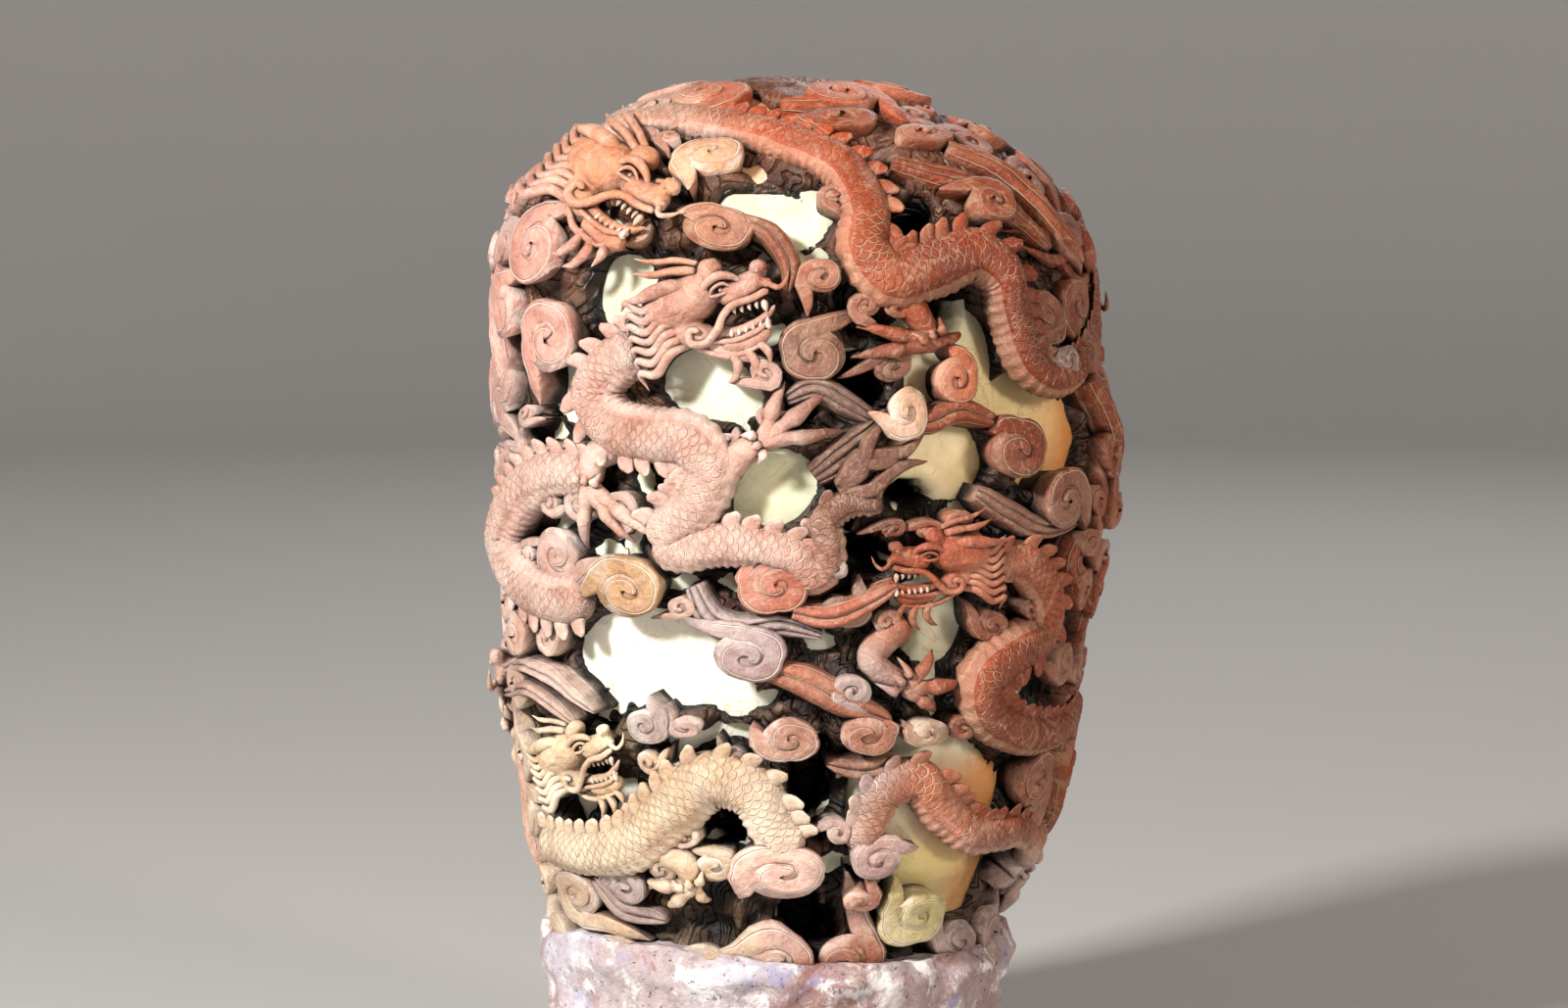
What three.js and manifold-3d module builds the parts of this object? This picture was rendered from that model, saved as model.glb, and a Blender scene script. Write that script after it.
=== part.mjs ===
// Soapstone carving: one upright boulder whose skin is cut through into dragons and scrolled clouds
// around a smooth pale heart, on a foot of the same stone left rough.
// Millimetres, +Z up, the front faces -Y, and the origin is on the flat underside.
import * as THREE from "three";
import { mergeVertices } from "three/addons/utils/BufferGeometryUtils.js";
import Module from "manifold-3d";

// The boulder
const HEIGHT = 376;
const DOME_START = 300;
const DOME_HALF_WIDTH = 113;
const DOME_LEAN = -3;
const DEPTH_SHARE = 0.82;
// Row, centre across and half width of the skin, from the underside to the start of the dome.
const SKIN_STATIONS = [
  [0, -9, 74],
  [40, -11, 81],
  [72, -10, 87],
  [110, -4, 101],
  [165, -4, 109],
  [232, 1, 117],
  [300, -4, 113],
];

// How deep under the skin the parts of the openwork lie
const GROUND_DEPTH = 9;
const HEART_DEPTH = 19;
const DRAGON_DEPTH = 8;
const HEAD_DEPTH = 7;
const CLAW_DEPTH = 9;
const CLOUD_DEPTH = 7;
const LOW_CLOUD_DEPTH = 12;

// How thick they are
const DRAGON_FLATNESS = 0.88;
const CREST_HEIGHT = 5;
const CLOUD_RISE = 7;
const CLOUD_ROOT = 9;
const WINDOW_REACH = 26;
const BOULDER_SIDES = 16;
const BOULDER_LEVELS = 9;
const BOULDER_BOTTOM = 40;
const DOME_FILL = 0.75;
const DOME_FILL_FADE = 6;

// The rough foot
const FOOT_TOP = 71;
const FOOT_SIDES = 16;
const FOOT_ROUGHNESS = 3;
const LEDGE_DROP = 13;

// Places are drawn on squared paper: rows up to the dome and over it, and columns out to its widest.
const ROWS_TO_DOME = 300;
const ROWS_OF_DOME = 76;
const COLUMNS = 113;

// The front is drawn as an elevation, [across, up], seen from this eye.
const EYE_DISTANCE = 2000;
const EYE_TILT = THREE.MathUtils.degToRad(6);
const EYE_AIM = [-7, 220];

// Edges shorter than this are closed up where forms join.
const JOIN_TOLERANCE = 0.8;
const MERGE_DISTANCE = 1e-3;

const LEG_RADII = [7.5, 5.6, 4.6];
const PAW_RISE = 4;
const PAW_ROOT = 4;
const PAD_SHARE = 0.6;
const BODY_STEP = 10;
const BACK_STEP = 18;

const { degToRad, lerp, clamp } = THREE.MathUtils;
const wasm = await Module();
wasm.setup();

// The height of a row, and the length of a number of columns.
const heightOf = (row) =>
  row <= ROWS_TO_DOME
    ? (row * DOME_START) / ROWS_TO_DOME
    : DOME_START + ((row - ROWS_TO_DOME) * (HEIGHT - DOME_START)) / ROWS_OF_DOME;
const lengthOf = (columns) => (columns * DOME_HALF_WIDTH) / COLUMNS;
const stations = SKIN_STATIONS.map(([row, centre, half]) => [
  heightOf(row),
  lengthOf(centre),
  lengthOf(half),
]);

// Centre across and half width of the skin at a height, as smooth curves through the stations.
function skinAt(height) {
  if (height >= DOME_START) {
    const t = Math.min((height - DOME_START) / (HEIGHT - DOME_START), 0.9999);
    const centre = stations.at(-1)[1] + DOME_LEAN * t;
    return { centre, half: DOME_HALF_WIDTH * Math.sqrt(1 - t * t) };
  }
  const z = Math.max(height, 0);
  const i = stations.findIndex((s, k) => k > 0 && z <= s[0]);
  const [z0, c0, h0] = stations[i - 1];
  const [z1, c1, h1] = stations[i];
  const t = THREE.MathUtils.smoothstep(z, z0, z1);
  return { centre: lerp(c0, c1, t), half: lerp(h0, h1, t) };
}

// Outward direction of the skin through a point at or under it.
function outward(point) {
  const { centre, half } = skinAt(point.z);
  const above = skinAt(Math.min(point.z + 0.5, HEIGHT - 0.1));
  const below = skinAt(Math.min(point.z - 0.5, HEIGHT - 1.1));
  const across = point.x - centre;
  const slope = (above.half ** 2 - below.half ** 2) / 2;
  const reach = Math.hypot(across, point.y / DEPTH_SHARE) || 1;
  const scale = half / reach;
  const rise = -slope - across * scale * (above.centre - below.centre);
  return new THREE.Vector3(
    across * scale,
    (point.y * scale) / DEPTH_SHARE ** 2,
    rise,
  ).normalize();
}

// The point at a bearing (degrees, 0 at the front, positive to the right) and height, some way under the skin.
function onSkin(bearing, height, depth = 0) {
  const { centre, half } = skinAt(height);
  const angle = degToRad(bearing);
  const p = new THREE.Vector3(
    centre + half * Math.sin(angle),
    -DEPTH_SHARE * half * Math.cos(angle),
    height,
  );
  return p.addScaledVector(outward(p), -depth);
}

// The point under the skin that the eye sees at a place of the front elevation.
function fromDrawing([column, row], depth = 0) {
  const [across, up] = [lengthOf(column), heightOf(row)];
  const [aimX, aimZ] = [lengthOf(EYE_AIM[0]), heightOf(EYE_AIM[1])];
  let bearing = 0;
  let height = up;
  let p = onSkin(bearing, height, depth);
  for (let pass = 0; pass < 24; pass++) {
    const ahead = p.y * Math.cos(EYE_TILT) - (p.z - aimZ) * Math.sin(EYE_TILT);
    const grow = (EYE_DISTANCE + ahead) / EYE_DISTANCE;
    const x = aimX + (across - aimX) * grow;
    const z =
      aimZ +
      ((up - aimZ) * grow - p.y * Math.sin(EYE_TILT)) / Math.cos(EYE_TILT);
    height = lerp(height, Math.min(z, HEIGHT - depth - 0.5), 0.5);
    const { centre, half } = skinAt(height);
    const s = clamp((x - centre) / Math.max(half - depth, 1), -0.999, 0.999);
    bearing = THREE.MathUtils.radToDeg(Math.asin(s));
    p = onSkin(bearing, height, depth);
  }
  return p;
}

// A closed body through rings of points. A ring of one point closes the body to a tip.
function loft(rings) {
  const points = rings.flat();
  const faces = [];
  let start = 0;
  for (let i = 0; i + 1 < rings.length; i++) {
    const [here, next] = [rings[i].length, rings[i + 1].length];
    const sides = Math.max(here, next);
    const at = (k) => start + (k % here);
    const on = (k) => start + here + (k % next);
    for (let k = 0; k < sides; k++) {
      if (here > 1) faces.push(at(k), at(k + 1), on(k));
      if (next > 1) faces.push(at(k + 1), on(k + 1), on(k));
    }
    start += here;
  }
  for (let k = 1; k + 1 < rings[0].length; k++) faces.push(0, k + 1, k);
  for (let k = 1; k + 1 < rings.at(-1).length; k++)
    faces.push(start, start + k, start + k + 1);
  return solidOf(points, faces);
}

// A solid from points and triangles, turned so that its faces point out.
function solidOf(points, faces, tolerance = JOIN_TOLERANCE) {
  const make = (triVerts) =>
    new wasm.Manifold(
      new wasm.Mesh({
        numProp: 3,
        vertProperties: new Float32Array(points.flatMap((p) => p.toArray())),
        triVerts: new Uint32Array(triVerts),
        tolerance,
      }),
    );
  let volume = 0;
  for (let i = 0; i < faces.length; i += 3) {
    const [a, b, c] = [0, 1, 2].map((k) => points[faces[i + k]]);
    volume += a.dot(new THREE.Vector3().crossVectors(b, c));
  }
  if (volume > 0) return make(faces);
  return make(faces.map((_, i) => faces[i + 2 - 2 * (i % 3)]));
}

// The directions at a place of the skin: out of the stone, and left of a heading as seen from outside.
function sideways(point, heading) {
  const out = outward(point);
  const left = new THREE.Vector3().crossVectors(out, heading).normalize();
  return { out: new THREE.Vector3().crossVectors(heading, left), left };
}

// A tapering round limb through points, with a radius at each. A radius of 0 makes a tip.
function limb(points, radii, sides = 5) {
  const rings = points.map((p, i) => {
    if (!radii[i]) return [p];
    const from = points[Math.max(i - 1, 0)];
    const to = points[Math.min(i + 1, points.length - 1)];
    const heading = new THREE.Vector3().subVectors(to, from).normalize();
    const { out, left } = sideways(p, heading);
    return Array.from({ length: sides }, (_, k) => {
      const turn = (2 * Math.PI * k) / sides;
      return p
        .clone()
        .addScaledVector(out, radii[i] * Math.cos(turn))
        .addScaledVector(left, radii[i] * Math.sin(turn));
    });
  });
  return loft(rings);
}

// Angles round a dragon's body, from its back ridge over the outward side.
const BODY_ANGLES = [90, 42, -8, -62, -135, 150].map(degToRad);

// A dragon's body: a long round form with a saw-toothed ridge on one hand of its heading.
function body({ route, radii, ridge }, step = BODY_STEP) {
  const curve = new THREE.CatmullRomCurve3(route, false, "centripetal");
  const count = Math.round(curve.getLength() / step);
  const rings = [];
  for (let i = 0; i <= count; i++) {
    const share = i / count;
    const p = curve.getPointAt(share);
    const place = curve.getUtoTmapping(share) * (route.length - 1);
    const k = Math.min(Math.floor(place), route.length - 2);
    const radius = lerp(radii[k], radii[k + 1], place - k);
    const { out, left } = sideways(p, curve.getTangentAt(share));
    const tooth = i % 2 && i < count ? CREST_HEIGHT : 0;
    rings.push(
      BODY_ANGLES.map((angle, corner) => {
        const reach = radius + (corner === 0 ? tooth : 0);
        return p
          .clone()
          .addScaledVector(out, reach * Math.cos(angle) * DRAGON_FLATNESS)
          .addScaledVector(left, reach * Math.sin(angle) * ridge);
      }),
    );
  }
  return loft(rings);
}

// Places in a head's own frame: forward along the snout, up to the crown, and out of the stone, all as
// shares of the head's length, then the radius there.
const HEAD_FORMS = {
  skull: [
    [-0.2, 0.0, 0, 0.2],
    [0.12, 0.08, 0.04, 0.31],
    [0.42, 0.1, 0.02, 0.24],
    [0.7, 0.14, 0, 0.15],
    [0.9, 0.26, 0, 0.19],
    [1.04, 0.3, 0, 0],
  ],
  jaw: [
    [0.0, -0.16, 0, 0.2],
    [0.4, -0.36, 0, 0.13],
    [0.74, -0.38, 0, 0.11],
    [0.92, -0.26, 0, 0],
  ],
  horn: [
    [0.16, 0.22, 0.14, 0.09],
    [-0.2, 0.42, 0.14, 0.08],
    [-0.62, 0.44, 0.04, 0],
  ],
};
const MANE_TOP = 0.1;
const MANE_DROP = -0.36;

// A dragon's head from the back of its skull to its nose, with the crown on one hand of its heading.
function head({ skull, nose, crown, strands = 2 }) {
  const length = skull.distanceTo(nose);
  const forward = new THREE.Vector3().subVectors(nose, skull).normalize();
  const { out, left } = sideways(skull, forward);
  const place = ([along, up, proud]) =>
    skull
      .clone()
      .addScaledVector(forward, along * length)
      .addScaledVector(left, up * length * crown)
      .addScaledVector(out, proud * length);
  const grow = (form, sides) =>
    limb(
      form.map(place),
      form.map((f) => f[3] * length),
      sides,
    );
  const forms = [
    grow(HEAD_FORMS.skull, 5),
    grow(HEAD_FORMS.jaw, 4),
    grow(HEAD_FORMS.horn, 3),
  ];
  for (let k = 0; k < strands; k++) {
    const up = MANE_TOP + MANE_DROP * k;
    forms.push(
      grow(
        [
          [0.05, up * 0.7, 0.06, 0.14],
          [-0.3, up, 0.04, 0.13],
          [-0.66, up * 1.4, -0.08, 0],
        ],
        3,
      ),
    );
  }
  return forms;
}

// A leg from the shoulder through the elbow to the palm, ending in a paw with its claws spread.
function leg({ joints, claws }) {
  const palm = joints.at(-1);
  const out = outward(palm);
  const between = (a, b, share) => new THREE.Vector3().lerpVectors(a, b, share);
  const notch = (a, b) => between(between(a, b, 0.5), palm, 0.5);
  const wrist = between(palm, joints.at(-2), PAD_SHARE);
  const outline = claws.flatMap((tip, k) => (k ? [notch(claws[k - 1], tip), tip] : [tip]));
  outline.push(wrist);
  const raised = outline.map((p) =>
    between(palm, p, PAD_SHARE).addScaledVector(out, PAW_RISE),
  );
  const sunk = outline.map((p) => p.clone().addScaledVector(out, -PAW_ROOT));
  return [limb(joints, LEG_RADII, 4), loft([raised, outline, sunk])];
}

// Strands of a tail's tuft, each from the tail's end to its own tip.
const TUFT_RADII = [3.6, 4.8, 0];
const TUFT_RISE = 3;
function tuft(root, tips) {
  return tips.map((tip) => {
    const middle = new THREE.Vector3().lerpVectors(root, tip, 0.5);
    middle.addScaledVector(outward(middle), TUFT_RISE);
    return limb([root, middle, tip], TUFT_RADII, 3);
  });
}

// How a cloud's scroll winds: corners and turns of its rim, and how far it draws in
const SCROLL_CORNERS = 6;
const SCROLL_SLIP = 0.3;
const SCROLL_POINTS = 7;
const SCROLL_DRAW_IN = 0.55;
const SCROLL_SPREAD = 1.2;

// A cloud: a low snail that winds up from its rim to a raised eye, rooted in the stone below.
function scroll({ centre, radius, start = 0, turn = 1, rise = CLOUD_RISE }) {
  const size = lengthOf(radius);
  const out = outward(centre);
  const across = new THREE.Vector3(0, 0, 1).cross(out);
  if (across.length() < 0.2) across.set(1, 0, 0).cross(out).cross(out).negate();
  across.normalize();
  const up = new THREE.Vector3().crossVectors(out, across);
  const place = (reach, angle, lift) =>
    centre
      .clone()
      .addScaledVector(across, reach * Math.cos(angle))
      .addScaledVector(up, reach * Math.sin(angle))
      .addScaledVector(out, lift);
  const grooves = [];
  const ridges = [];
  const roots = [];
  for (let k = 0; k <= SCROLL_POINTS; k++) {
    const angle =
      degToRad(start) +
      (turn * 2 * Math.PI * k) / (SCROLL_CORNERS + SCROLL_SLIP);
    const wound = k / SCROLL_POINTS;
    const reach = SCROLL_SPREAD * size * (1 - SCROLL_DRAW_IN * wound);
    grooves.push(place(reach, angle, rise * (0.55 * wound - 0.1)));
    ridges.push(
      place(reach - 0.12 * size, angle, rise * (0.4 + 0.5 * wound)),
    );
    if (k <= SCROLL_CORNERS)
      roots.push(place(0.8 * reach, angle, -CLOUD_ROOT));
  }
  const points = [
    ...grooves,
    ...ridges,
    ...roots,
    place(0, 0, rise),
    place(0, 0, -CLOUD_ROOT),
  ];
  const last = SCROLL_POINTS;
  const G = (k) => k;
  const R = (k) => last + 1 + k;
  const B = (k) => 2 * (last + 1) + k;
  const eye = points.length - 2;
  const foot = points.length - 1;
  const n = SCROLL_CORNERS;
  const faces = [];
  for (let k = 0; k < last; k++) {
    faces.push(G(k), G(k + 1), R(k), G(k + 1), R(k + 1), R(k));
    if (k + 1 + n <= last)
      faces.push(R(k), R(k + 1), G(k + n), R(k + 1), G(k + n + 1), G(k + n));
    if (k >= last - n) faces.push(R(k), R(k + 1), eye);
  }
  faces.push(R(last), G(last), eye, G(last), R(last - n), eye);
  for (let k = 0; k < n; k++)
    faces.push(B(k), B(k + 1), G(k), B(k + 1), G(k + 1), G(k), B(k + 1), B(k), foot);
  faces.push(G(n), B(n), B(0), G(n), B(0), R(0), R(0), B(0), G(0), B(0), B(n), foot);
  return solidOf(points, faces);
}

// The sections of a lobe of cloud and of a cutter: shares of its radius and of its rise
const LOBE_SIDES = 6;
const LOBE_RINGS = [
  [0.8, -1],
  [1, 0],
  [0.62, 0.7],
];
const BORE_RINGS = [
  [1.05, 0.5],
  [0.8, -1],
];

// A plain lobe of cloud, a low dome with its long side at an angle.
function lobe({ centre, radius, long, angle = 0, rise = CLOUD_ROOT, rings = LOBE_RINGS }) {
  const out = outward(centre);
  const across = new THREE.Vector3(0, 0, 1).cross(out).normalize();
  const frame = new THREE.Matrix4()
    .makeBasis(across, new THREE.Vector3().crossVectors(out, across), out)
    .setPosition(centre);
  const ring = (reach, lift) =>
    Array.from({ length: LOBE_SIDES }, (_, k) => {
      const turn = (2 * Math.PI * k) / LOBE_SIDES;
      return new THREE.Vector3(long * Math.cos(turn), Math.sin(turn), 0)
        .multiplyScalar(reach * lengthOf(radius))
        .applyAxisAngle(new THREE.Vector3(0, 0, 1), degToRad(angle))
        .setZ(lift * rise)
        .applyMatrix4(frame);
    });
  return loft(rings.map(([reach, lift]) => ring(reach, lift)));
}

// A straight cutter through the stone: the same outline all the way, drawn in a little as it goes down.
function bore({ centre, radius, long, angle = 0, reach }) {
  return lobe({ centre, radius, long, angle, rise: reach, rings: BORE_RINGS });
}

// The boulder cut back to a depth under its skin, less so on top of the dome.
function boulder(depth) {
  const rings = [];
  for (let level = 0; level < BOULDER_LEVELS; level++) {
    const share = level / (BOULDER_LEVELS - 1);
    const height = lerp(BOULDER_BOTTOM, HEIGHT - 0.5, Math.sin((share * Math.PI) / 2));
    const cut = depth * (1 - DOME_FILL * share ** DOME_FILL_FADE);
    rings.push(
      Array.from({ length: BOULDER_SIDES }, (_, k) =>
        onSkin((360 * (k + (level % 2) / 2)) / BOULDER_SIDES, height, cut),
      ),
    );
  }
  return loft(rings);
}

// The uncut foot: flat below, rough at its side, with a ledge that falls to the front right.
function foot() {
  const ledge = (bearing) =>
    FOOT_TOP - LEDGE_DROP * Math.max(0, Math.cos(degToRad(bearing - 40))) ** 2;
  const levels = [
    [0, 1],
    [0.3, 1],
    [0.7, 1],
    [0.94, 0.98],
    [1, 0.9],
    [1, 0.4],
  ];
  const rings = levels.map(([up, inset], level) =>
    Array.from({ length: FOOT_SIDES }, (_, k) => {
      const bearing = (360 * k) / FOOT_SIDES;
      const rough =
        FOOT_ROUGHNESS *
        (Math.sin(bearing * 0.21 + level * 2.1) +
          0.6 * Math.sin(bearing * 0.085 - level));
      const p = onSkin(bearing, up * ledge(bearing), Math.max(rough, -1.5));
      const { centre } = skinAt(p.z);
      p.z = up * ledge(bearing);
      p.x = centre + (p.x - centre) * inset;
      p.y *= inset;
      return p;
    }),
  );
  return loft(rings);
}

// A run of places of the front elevation, all at one depth.
const drawn = (places, depth = DRAGON_DEPTH) =>
  places.map((place) => fromDrawing(place, depth));
const radiiOf = (first, most, last, count) =>
  Array.from({ length: count }, (_, i) => {
    const share = i / (count - 1);
    const columns =
      share < 0.5
        ? lerp(first, most, share * 2)
        : lerp(most, last, share * 2 - 1);
    return lengthOf(columns);
  });

// The dragons of the front: ridge and crown are 1 on the left hand of the heading and -1 on the right.
const FRONT_DRAGONS = {
  crown: {
    route: [
      [-67, 359], [-49, 364], [-28, 362], [-5, 355], [13, 345], [21, 328],
      [21, 313], [31, 301], [46, 306], [59, 311], [69, 303], [73, 286],
      [79, 271], [90, 266], [100, 277], [103, 293], [101, 308],
    ],
    girth: [6, 12, 4.5],
    ridge: 1,
    head: { skull: [-77, 344], nose: [-47, 327], crown: 1 },
    legs: [
      {
        joints: [[30, 300], [40, 288], [45, 278]],
        claws: [[23, 283], [21, 274], [54, 281]],
      },
    ],
    tuft: { root: [102, 303], tips: [[82, 329], [92, 326], [76, 315]] },
  },
  main: {
    route: [
      [-55, 277], [-67, 270], [-73, 260], [-67, 249], [-53, 245],
      [-40, 243], [-32, 233], [-36, 221], [-46, 211], [-52, 204],
    ],
    girth: [10.5, 12, 10],
    ridge: -1,
    head: { skull: [-51, 289], nose: [-9, 298], crown: 1 },
    legs: [
      {
        joints: [[-63, 243], [-74, 236], [-75, 226]],
        claws: [[-76, 207], [-62, 209], [-53, 210]],
      },
      {
        joints: [[-30, 229], [-22, 238], [-14, 243]],
        claws: [[-8, 261], [5, 258], [10, 246]],
      },
    ],
  },
  mainTail: {
    route: [
      [-53, 204], [-42, 203], [-28, 205], [-12, 203], [-2, 199],
      [4, 193], [9, 202], [8, 213], [16, 220], [28, 219],
    ],
    girth: [8.5, 8, 4.5],
    ridge: 1,
    tuft: { root: [12, 226], tips: [[30, 252], [44, 249], [44, 236]] },
  },
  left: {
    route: [
      [-73, 230], [-88, 231], [-99, 223], [-104, 208], [-99, 194],
      [-87, 186], [-75, 186],
    ],
    girth: [8, 12, 9],
    ridge: -1,
  },
  right: {
    route: [
      [63, 194], [75, 198], [84, 187], [83, 174], [71, 166], [62, 157],
      [63, 145], [75, 137], [90, 139], [98, 151],
    ],
    girth: [8, 11.5, 6],
    ridge: 1,
    head: { skull: [60, 202], nose: [27, 197], crown: -1 },
    legs: [
      {
        joints: [[29, 173], [31, 159], [38, 151]],
        claws: [[18, 159], [46, 161], [53, 151]],
      },
    ],
  },
  yellow: {
    route: [
      [-91, 98], [-74, 94], [-58, 98], [-45, 110], [-32, 120],
      [-18, 116], [-10, 103], [-3, 91],
    ],
    girth: [9.5, 12, 8],
    ridge: 1,
    head: { skull: [-89, 130], nose: [-60, 134], crown: 1 },
    legs: [
      {
        joints: [[-52, 97], [-41, 89], [-38, 82]],
        claws: [[-53, 83], [-46, 75], [-33, 76]],
      },
    ],
  },
  arch: {
    route: [
      [17, 95], [23, 105], [28, 116], [39, 120], [48, 110], [60, 101],
      [74, 103], [83, 94],
    ],
    girth: [7, 9.5, 6.5],
    ridge: 1,
    legs: [
      {
        joints: [[80, 99], [79, 93], [78, 87]],
        claws: [[74, 79], [80, 75], [86, 82]],
      },
    ],
  },
};

// Scrolls of the front: place, radius, the angle where the rim begins, and the hand it winds on.
const FRONT_SCROLLS = [
  { at: [-31, 348], radius: 14, start: 20, turn: 1 },
  { at: [-31, 319], radius: 13, start: 30, turn: 1 },
  { at: [6, 301], radius: 12, start: 200, turn: -1 },
  { at: [4, 275], radius: 14, start: 100, turn: 1, low: true },
  { at: [-95, 313], radius: 15, start: 160, turn: 1 },
  { at: [-87, 277], radius: 14, start: 160, turn: -1 },
  { at: [-61, 188], radius: 16, start: 170, turn: 1 },
  { at: [-9, 191], radius: 16, start: 330, turn: 1 },
  { at: [-20, 165], radius: 14, start: 60, turn: 1 },
  { at: [-3, 135], radius: 14, start: 10, turn: 1 },
  { at: [75, 240], radius: 16, start: 130, turn: -1 },
  { at: [53, 263], radius: 13, start: 80, turn: -1 },
  { at: [92, 220], radius: 14, start: 0, turn: 1 },
  { at: [-9, 84], radius: 18, start: 300, turn: -1 },
  { at: [36, 72], radius: 16, start: 200, turn: -1 },
  { at: [66, 331], radius: 16, start: 150, turn: -1 },
  { at: [12, 362], radius: 16, start: 180, turn: 1 },
];

// Plain lobes between them: place, radius, how long, and the angle of the long side.
const FRONT_LOBES = [
  { at: [-104, 290], radius: 10, long: 1.4, angle: 85 },
  { at: [-102, 174], radius: 10, long: 1.3, angle: 80 },
  { at: [24, 134], radius: 13, long: 1.6, angle: 5 },
  { at: [38, 250], radius: 11, long: 1.4, angle: -50 },
  { at: [107, 236], radius: 10, long: 2, angle: 85 },
  { at: [96, 126], radius: 11, long: 1.8, angle: 85 },
  { at: [104, 188], radius: 10, long: 1.8, angle: 80 },
];

// Windows through the ground of the carving, where the smooth heart shows: place, radius, how long,
// and the angle of the long side.
const FRONT_WINDOWS = [
  { at: [-54, 159], radius: 17, long: 2.1, angle: -12 },
  { at: [-10, 225], radius: 14, long: 1.4, angle: 45 },
  { at: [-71, 294], radius: 12, long: 1.3, angle: 90 },
  { at: [-87, 255], radius: 10, long: 1.5, angle: -20 },
  { at: [-12, 327], radius: 16, long: 1.4, angle: -10 },
  { at: [-38, 261], radius: 11, long: 1.5, angle: -10 },
  { at: [72, 252], radius: 20, long: 1.3, angle: -50 },
  { at: [44, 98], radius: 27, long: 1.1, angle: 90 },
];

// Deep hollows between the dragons: place, radius, how long, and the angle of the long side.
const FRONT_HOLLOWS = [
  { at: [42, 328], radius: 9, long: 1.2 },
  { at: [57, 290], radius: 9, long: 1.3 },
  { at: [89, 296], radius: 6, long: 1.8, angle: 80 },
  { at: [14, 265], radius: 9, long: 1.5, angle: -30 },
  { at: [-54, 229], radius: 8, long: 1.2 },
  { at: [42, 171], radius: 9, long: 1.2 },
  { at: [-30, 101], radius: 9, long: 1 },
];
const HOLLOW_REACH = 32;

// The dragons out of sight swing from side to side between two bearings.
const BACK_DRAGONS = [
  { from: 128, to: 232, height: 285, swing: 30, waves: 1.4, crown: 1 },
  { from: 240, to: 122, height: 150, swing: 34, waves: 1.4, crown: -1 },
];
const BACK_GIRTH = [8, 11, 4.5];
const BACK_POINTS = 9;
const BACK_CLOUD_ROWS = [332, 218, 94];
const BACK_CLOUDS_A_ROW = 4;
const BACK_CLOUD_RADIUS = 18;

// One dragon of the front as its forms.
function frontDragon({ route, girth, ridge, head: face, legs = [], tuft: tail }) {
  const forms = [
    body({ route: drawn(route), radii: radiiOf(...girth, route.length), ridge }),
  ];
  if (face) {
    const [skull, nose] = drawn([face.skull, face.nose], HEAD_DEPTH);
    forms.push(...head({ skull, nose, crown: face.crown }));
  }
  for (const { joints, claws } of legs)
    forms.push(
      ...leg({
        joints: drawn(joints, HEAD_DEPTH),
        claws: drawn(claws, CLAW_DEPTH),
      }),
    );
  if (tail)
    forms.push(...tuft(...drawn([tail.root]), drawn(tail.tips)));
  return forms;
}

// One dragon of the back as its forms, its head at the start of its swing.
function backDragon({ from, to, height, swing, waves, crown }) {
  const place = (share) =>
    onSkin(
      lerp(from, to, share),
      heightOf(height + swing * Math.sin(2 * Math.PI * waves * share)),
      DRAGON_DEPTH,
    );
  const route = Array.from({ length: BACK_POINTS }, (_, i) =>
    place(i / (BACK_POINTS - 1)),
  );
  const ahead = (from - to) * 0.28;
  const skull = onSkin(from, heightOf(height + 2), HEAD_DEPTH);
  const nose = onSkin(from + ahead, heightOf(height + 4), HEAD_DEPTH);
  return [
    body(
      { route, radii: radiiOf(...BACK_GIRTH, BACK_POINTS), ridge: -crown },
      BACK_STEP,
    ),
    ...head({ skull, nose, crown: -crown, strands: 1 }),
  ];
}

// Rows of scrolls round the back, each row set off from the one below.
function backClouds() {
  const forms = [];
  BACK_CLOUD_ROWS.forEach((height, row) => {
    for (let k = 0; k < BACK_CLOUDS_A_ROW; k++) {
      const bearing = 112 + 40 * k + (row % 2 ? 18 : 0);
      const centre = onSkin(bearing, heightOf(height), CLOUD_DEPTH + 2);
      const turn = (row + k) % 2 ? 1 : -1;
      forms.push(
        scroll({ centre, radius: BACK_CLOUD_RADIUS, start: 50 * k, turn }),
      );
    }
  });
  return forms;
}

// The whole carving as one solid. Pockets that nothing opens are filled.
function carving() {
  let stone = boulder(GROUND_DEPTH);
  for (const { at, ...shape } of FRONT_WINDOWS)
    stone = stone.subtract(
      bore({ centre: fromDrawing(at), reach: WINDOW_REACH, ...shape }),
    );
  stone = stone.add(boulder(HEART_DEPTH)).add(foot());
  for (const { at, ...shape } of FRONT_HOLLOWS)
    stone = stone.subtract(
      bore({ centre: fromDrawing(at), reach: HOLLOW_REACH, ...shape }),
    );
  const forms = [];
  for (const dragon of Object.values(FRONT_DRAGONS))
    forms.push(...frontDragon(dragon));
  for (const dragon of BACK_DRAGONS) forms.push(...backDragon(dragon));
  for (const { at, low, ...shape } of FRONT_SCROLLS) {
    const centre = fromDrawing(at, low ? LOW_CLOUD_DEPTH : CLOUD_DEPTH);
    forms.push(scroll({ centre, ...shape }));
  }
  for (const { at, low, ...shape } of FRONT_LOBES) {
    const centre = fromDrawing(at, low ? LOW_CLOUD_DEPTH : CLOUD_DEPTH);
    forms.push(lobe({ centre, ...shape }));
  }
  forms.push(...backClouds());
  for (const form of forms) stone = stone.add(form);
  return stone;
}

// The surface of the one body of a solid, without any pocket sealed inside it.
function surfaceOf(solid) {
  const outer = solid
    .decompose()
    .reduce((a, b) => (a.volume() > b.volume() ? a : b));
  const { vertProperties, triVerts } = outer.getMesh();
  const surface = new THREE.BufferGeometry()
    .setAttribute("position", new THREE.BufferAttribute(new Float32Array(vertProperties), 3))
    .setIndex(new THREE.BufferAttribute(new Uint32Array(triVerts), 1));
  return mergeVertices(surface, MERGE_DISTANCE);
}

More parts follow.
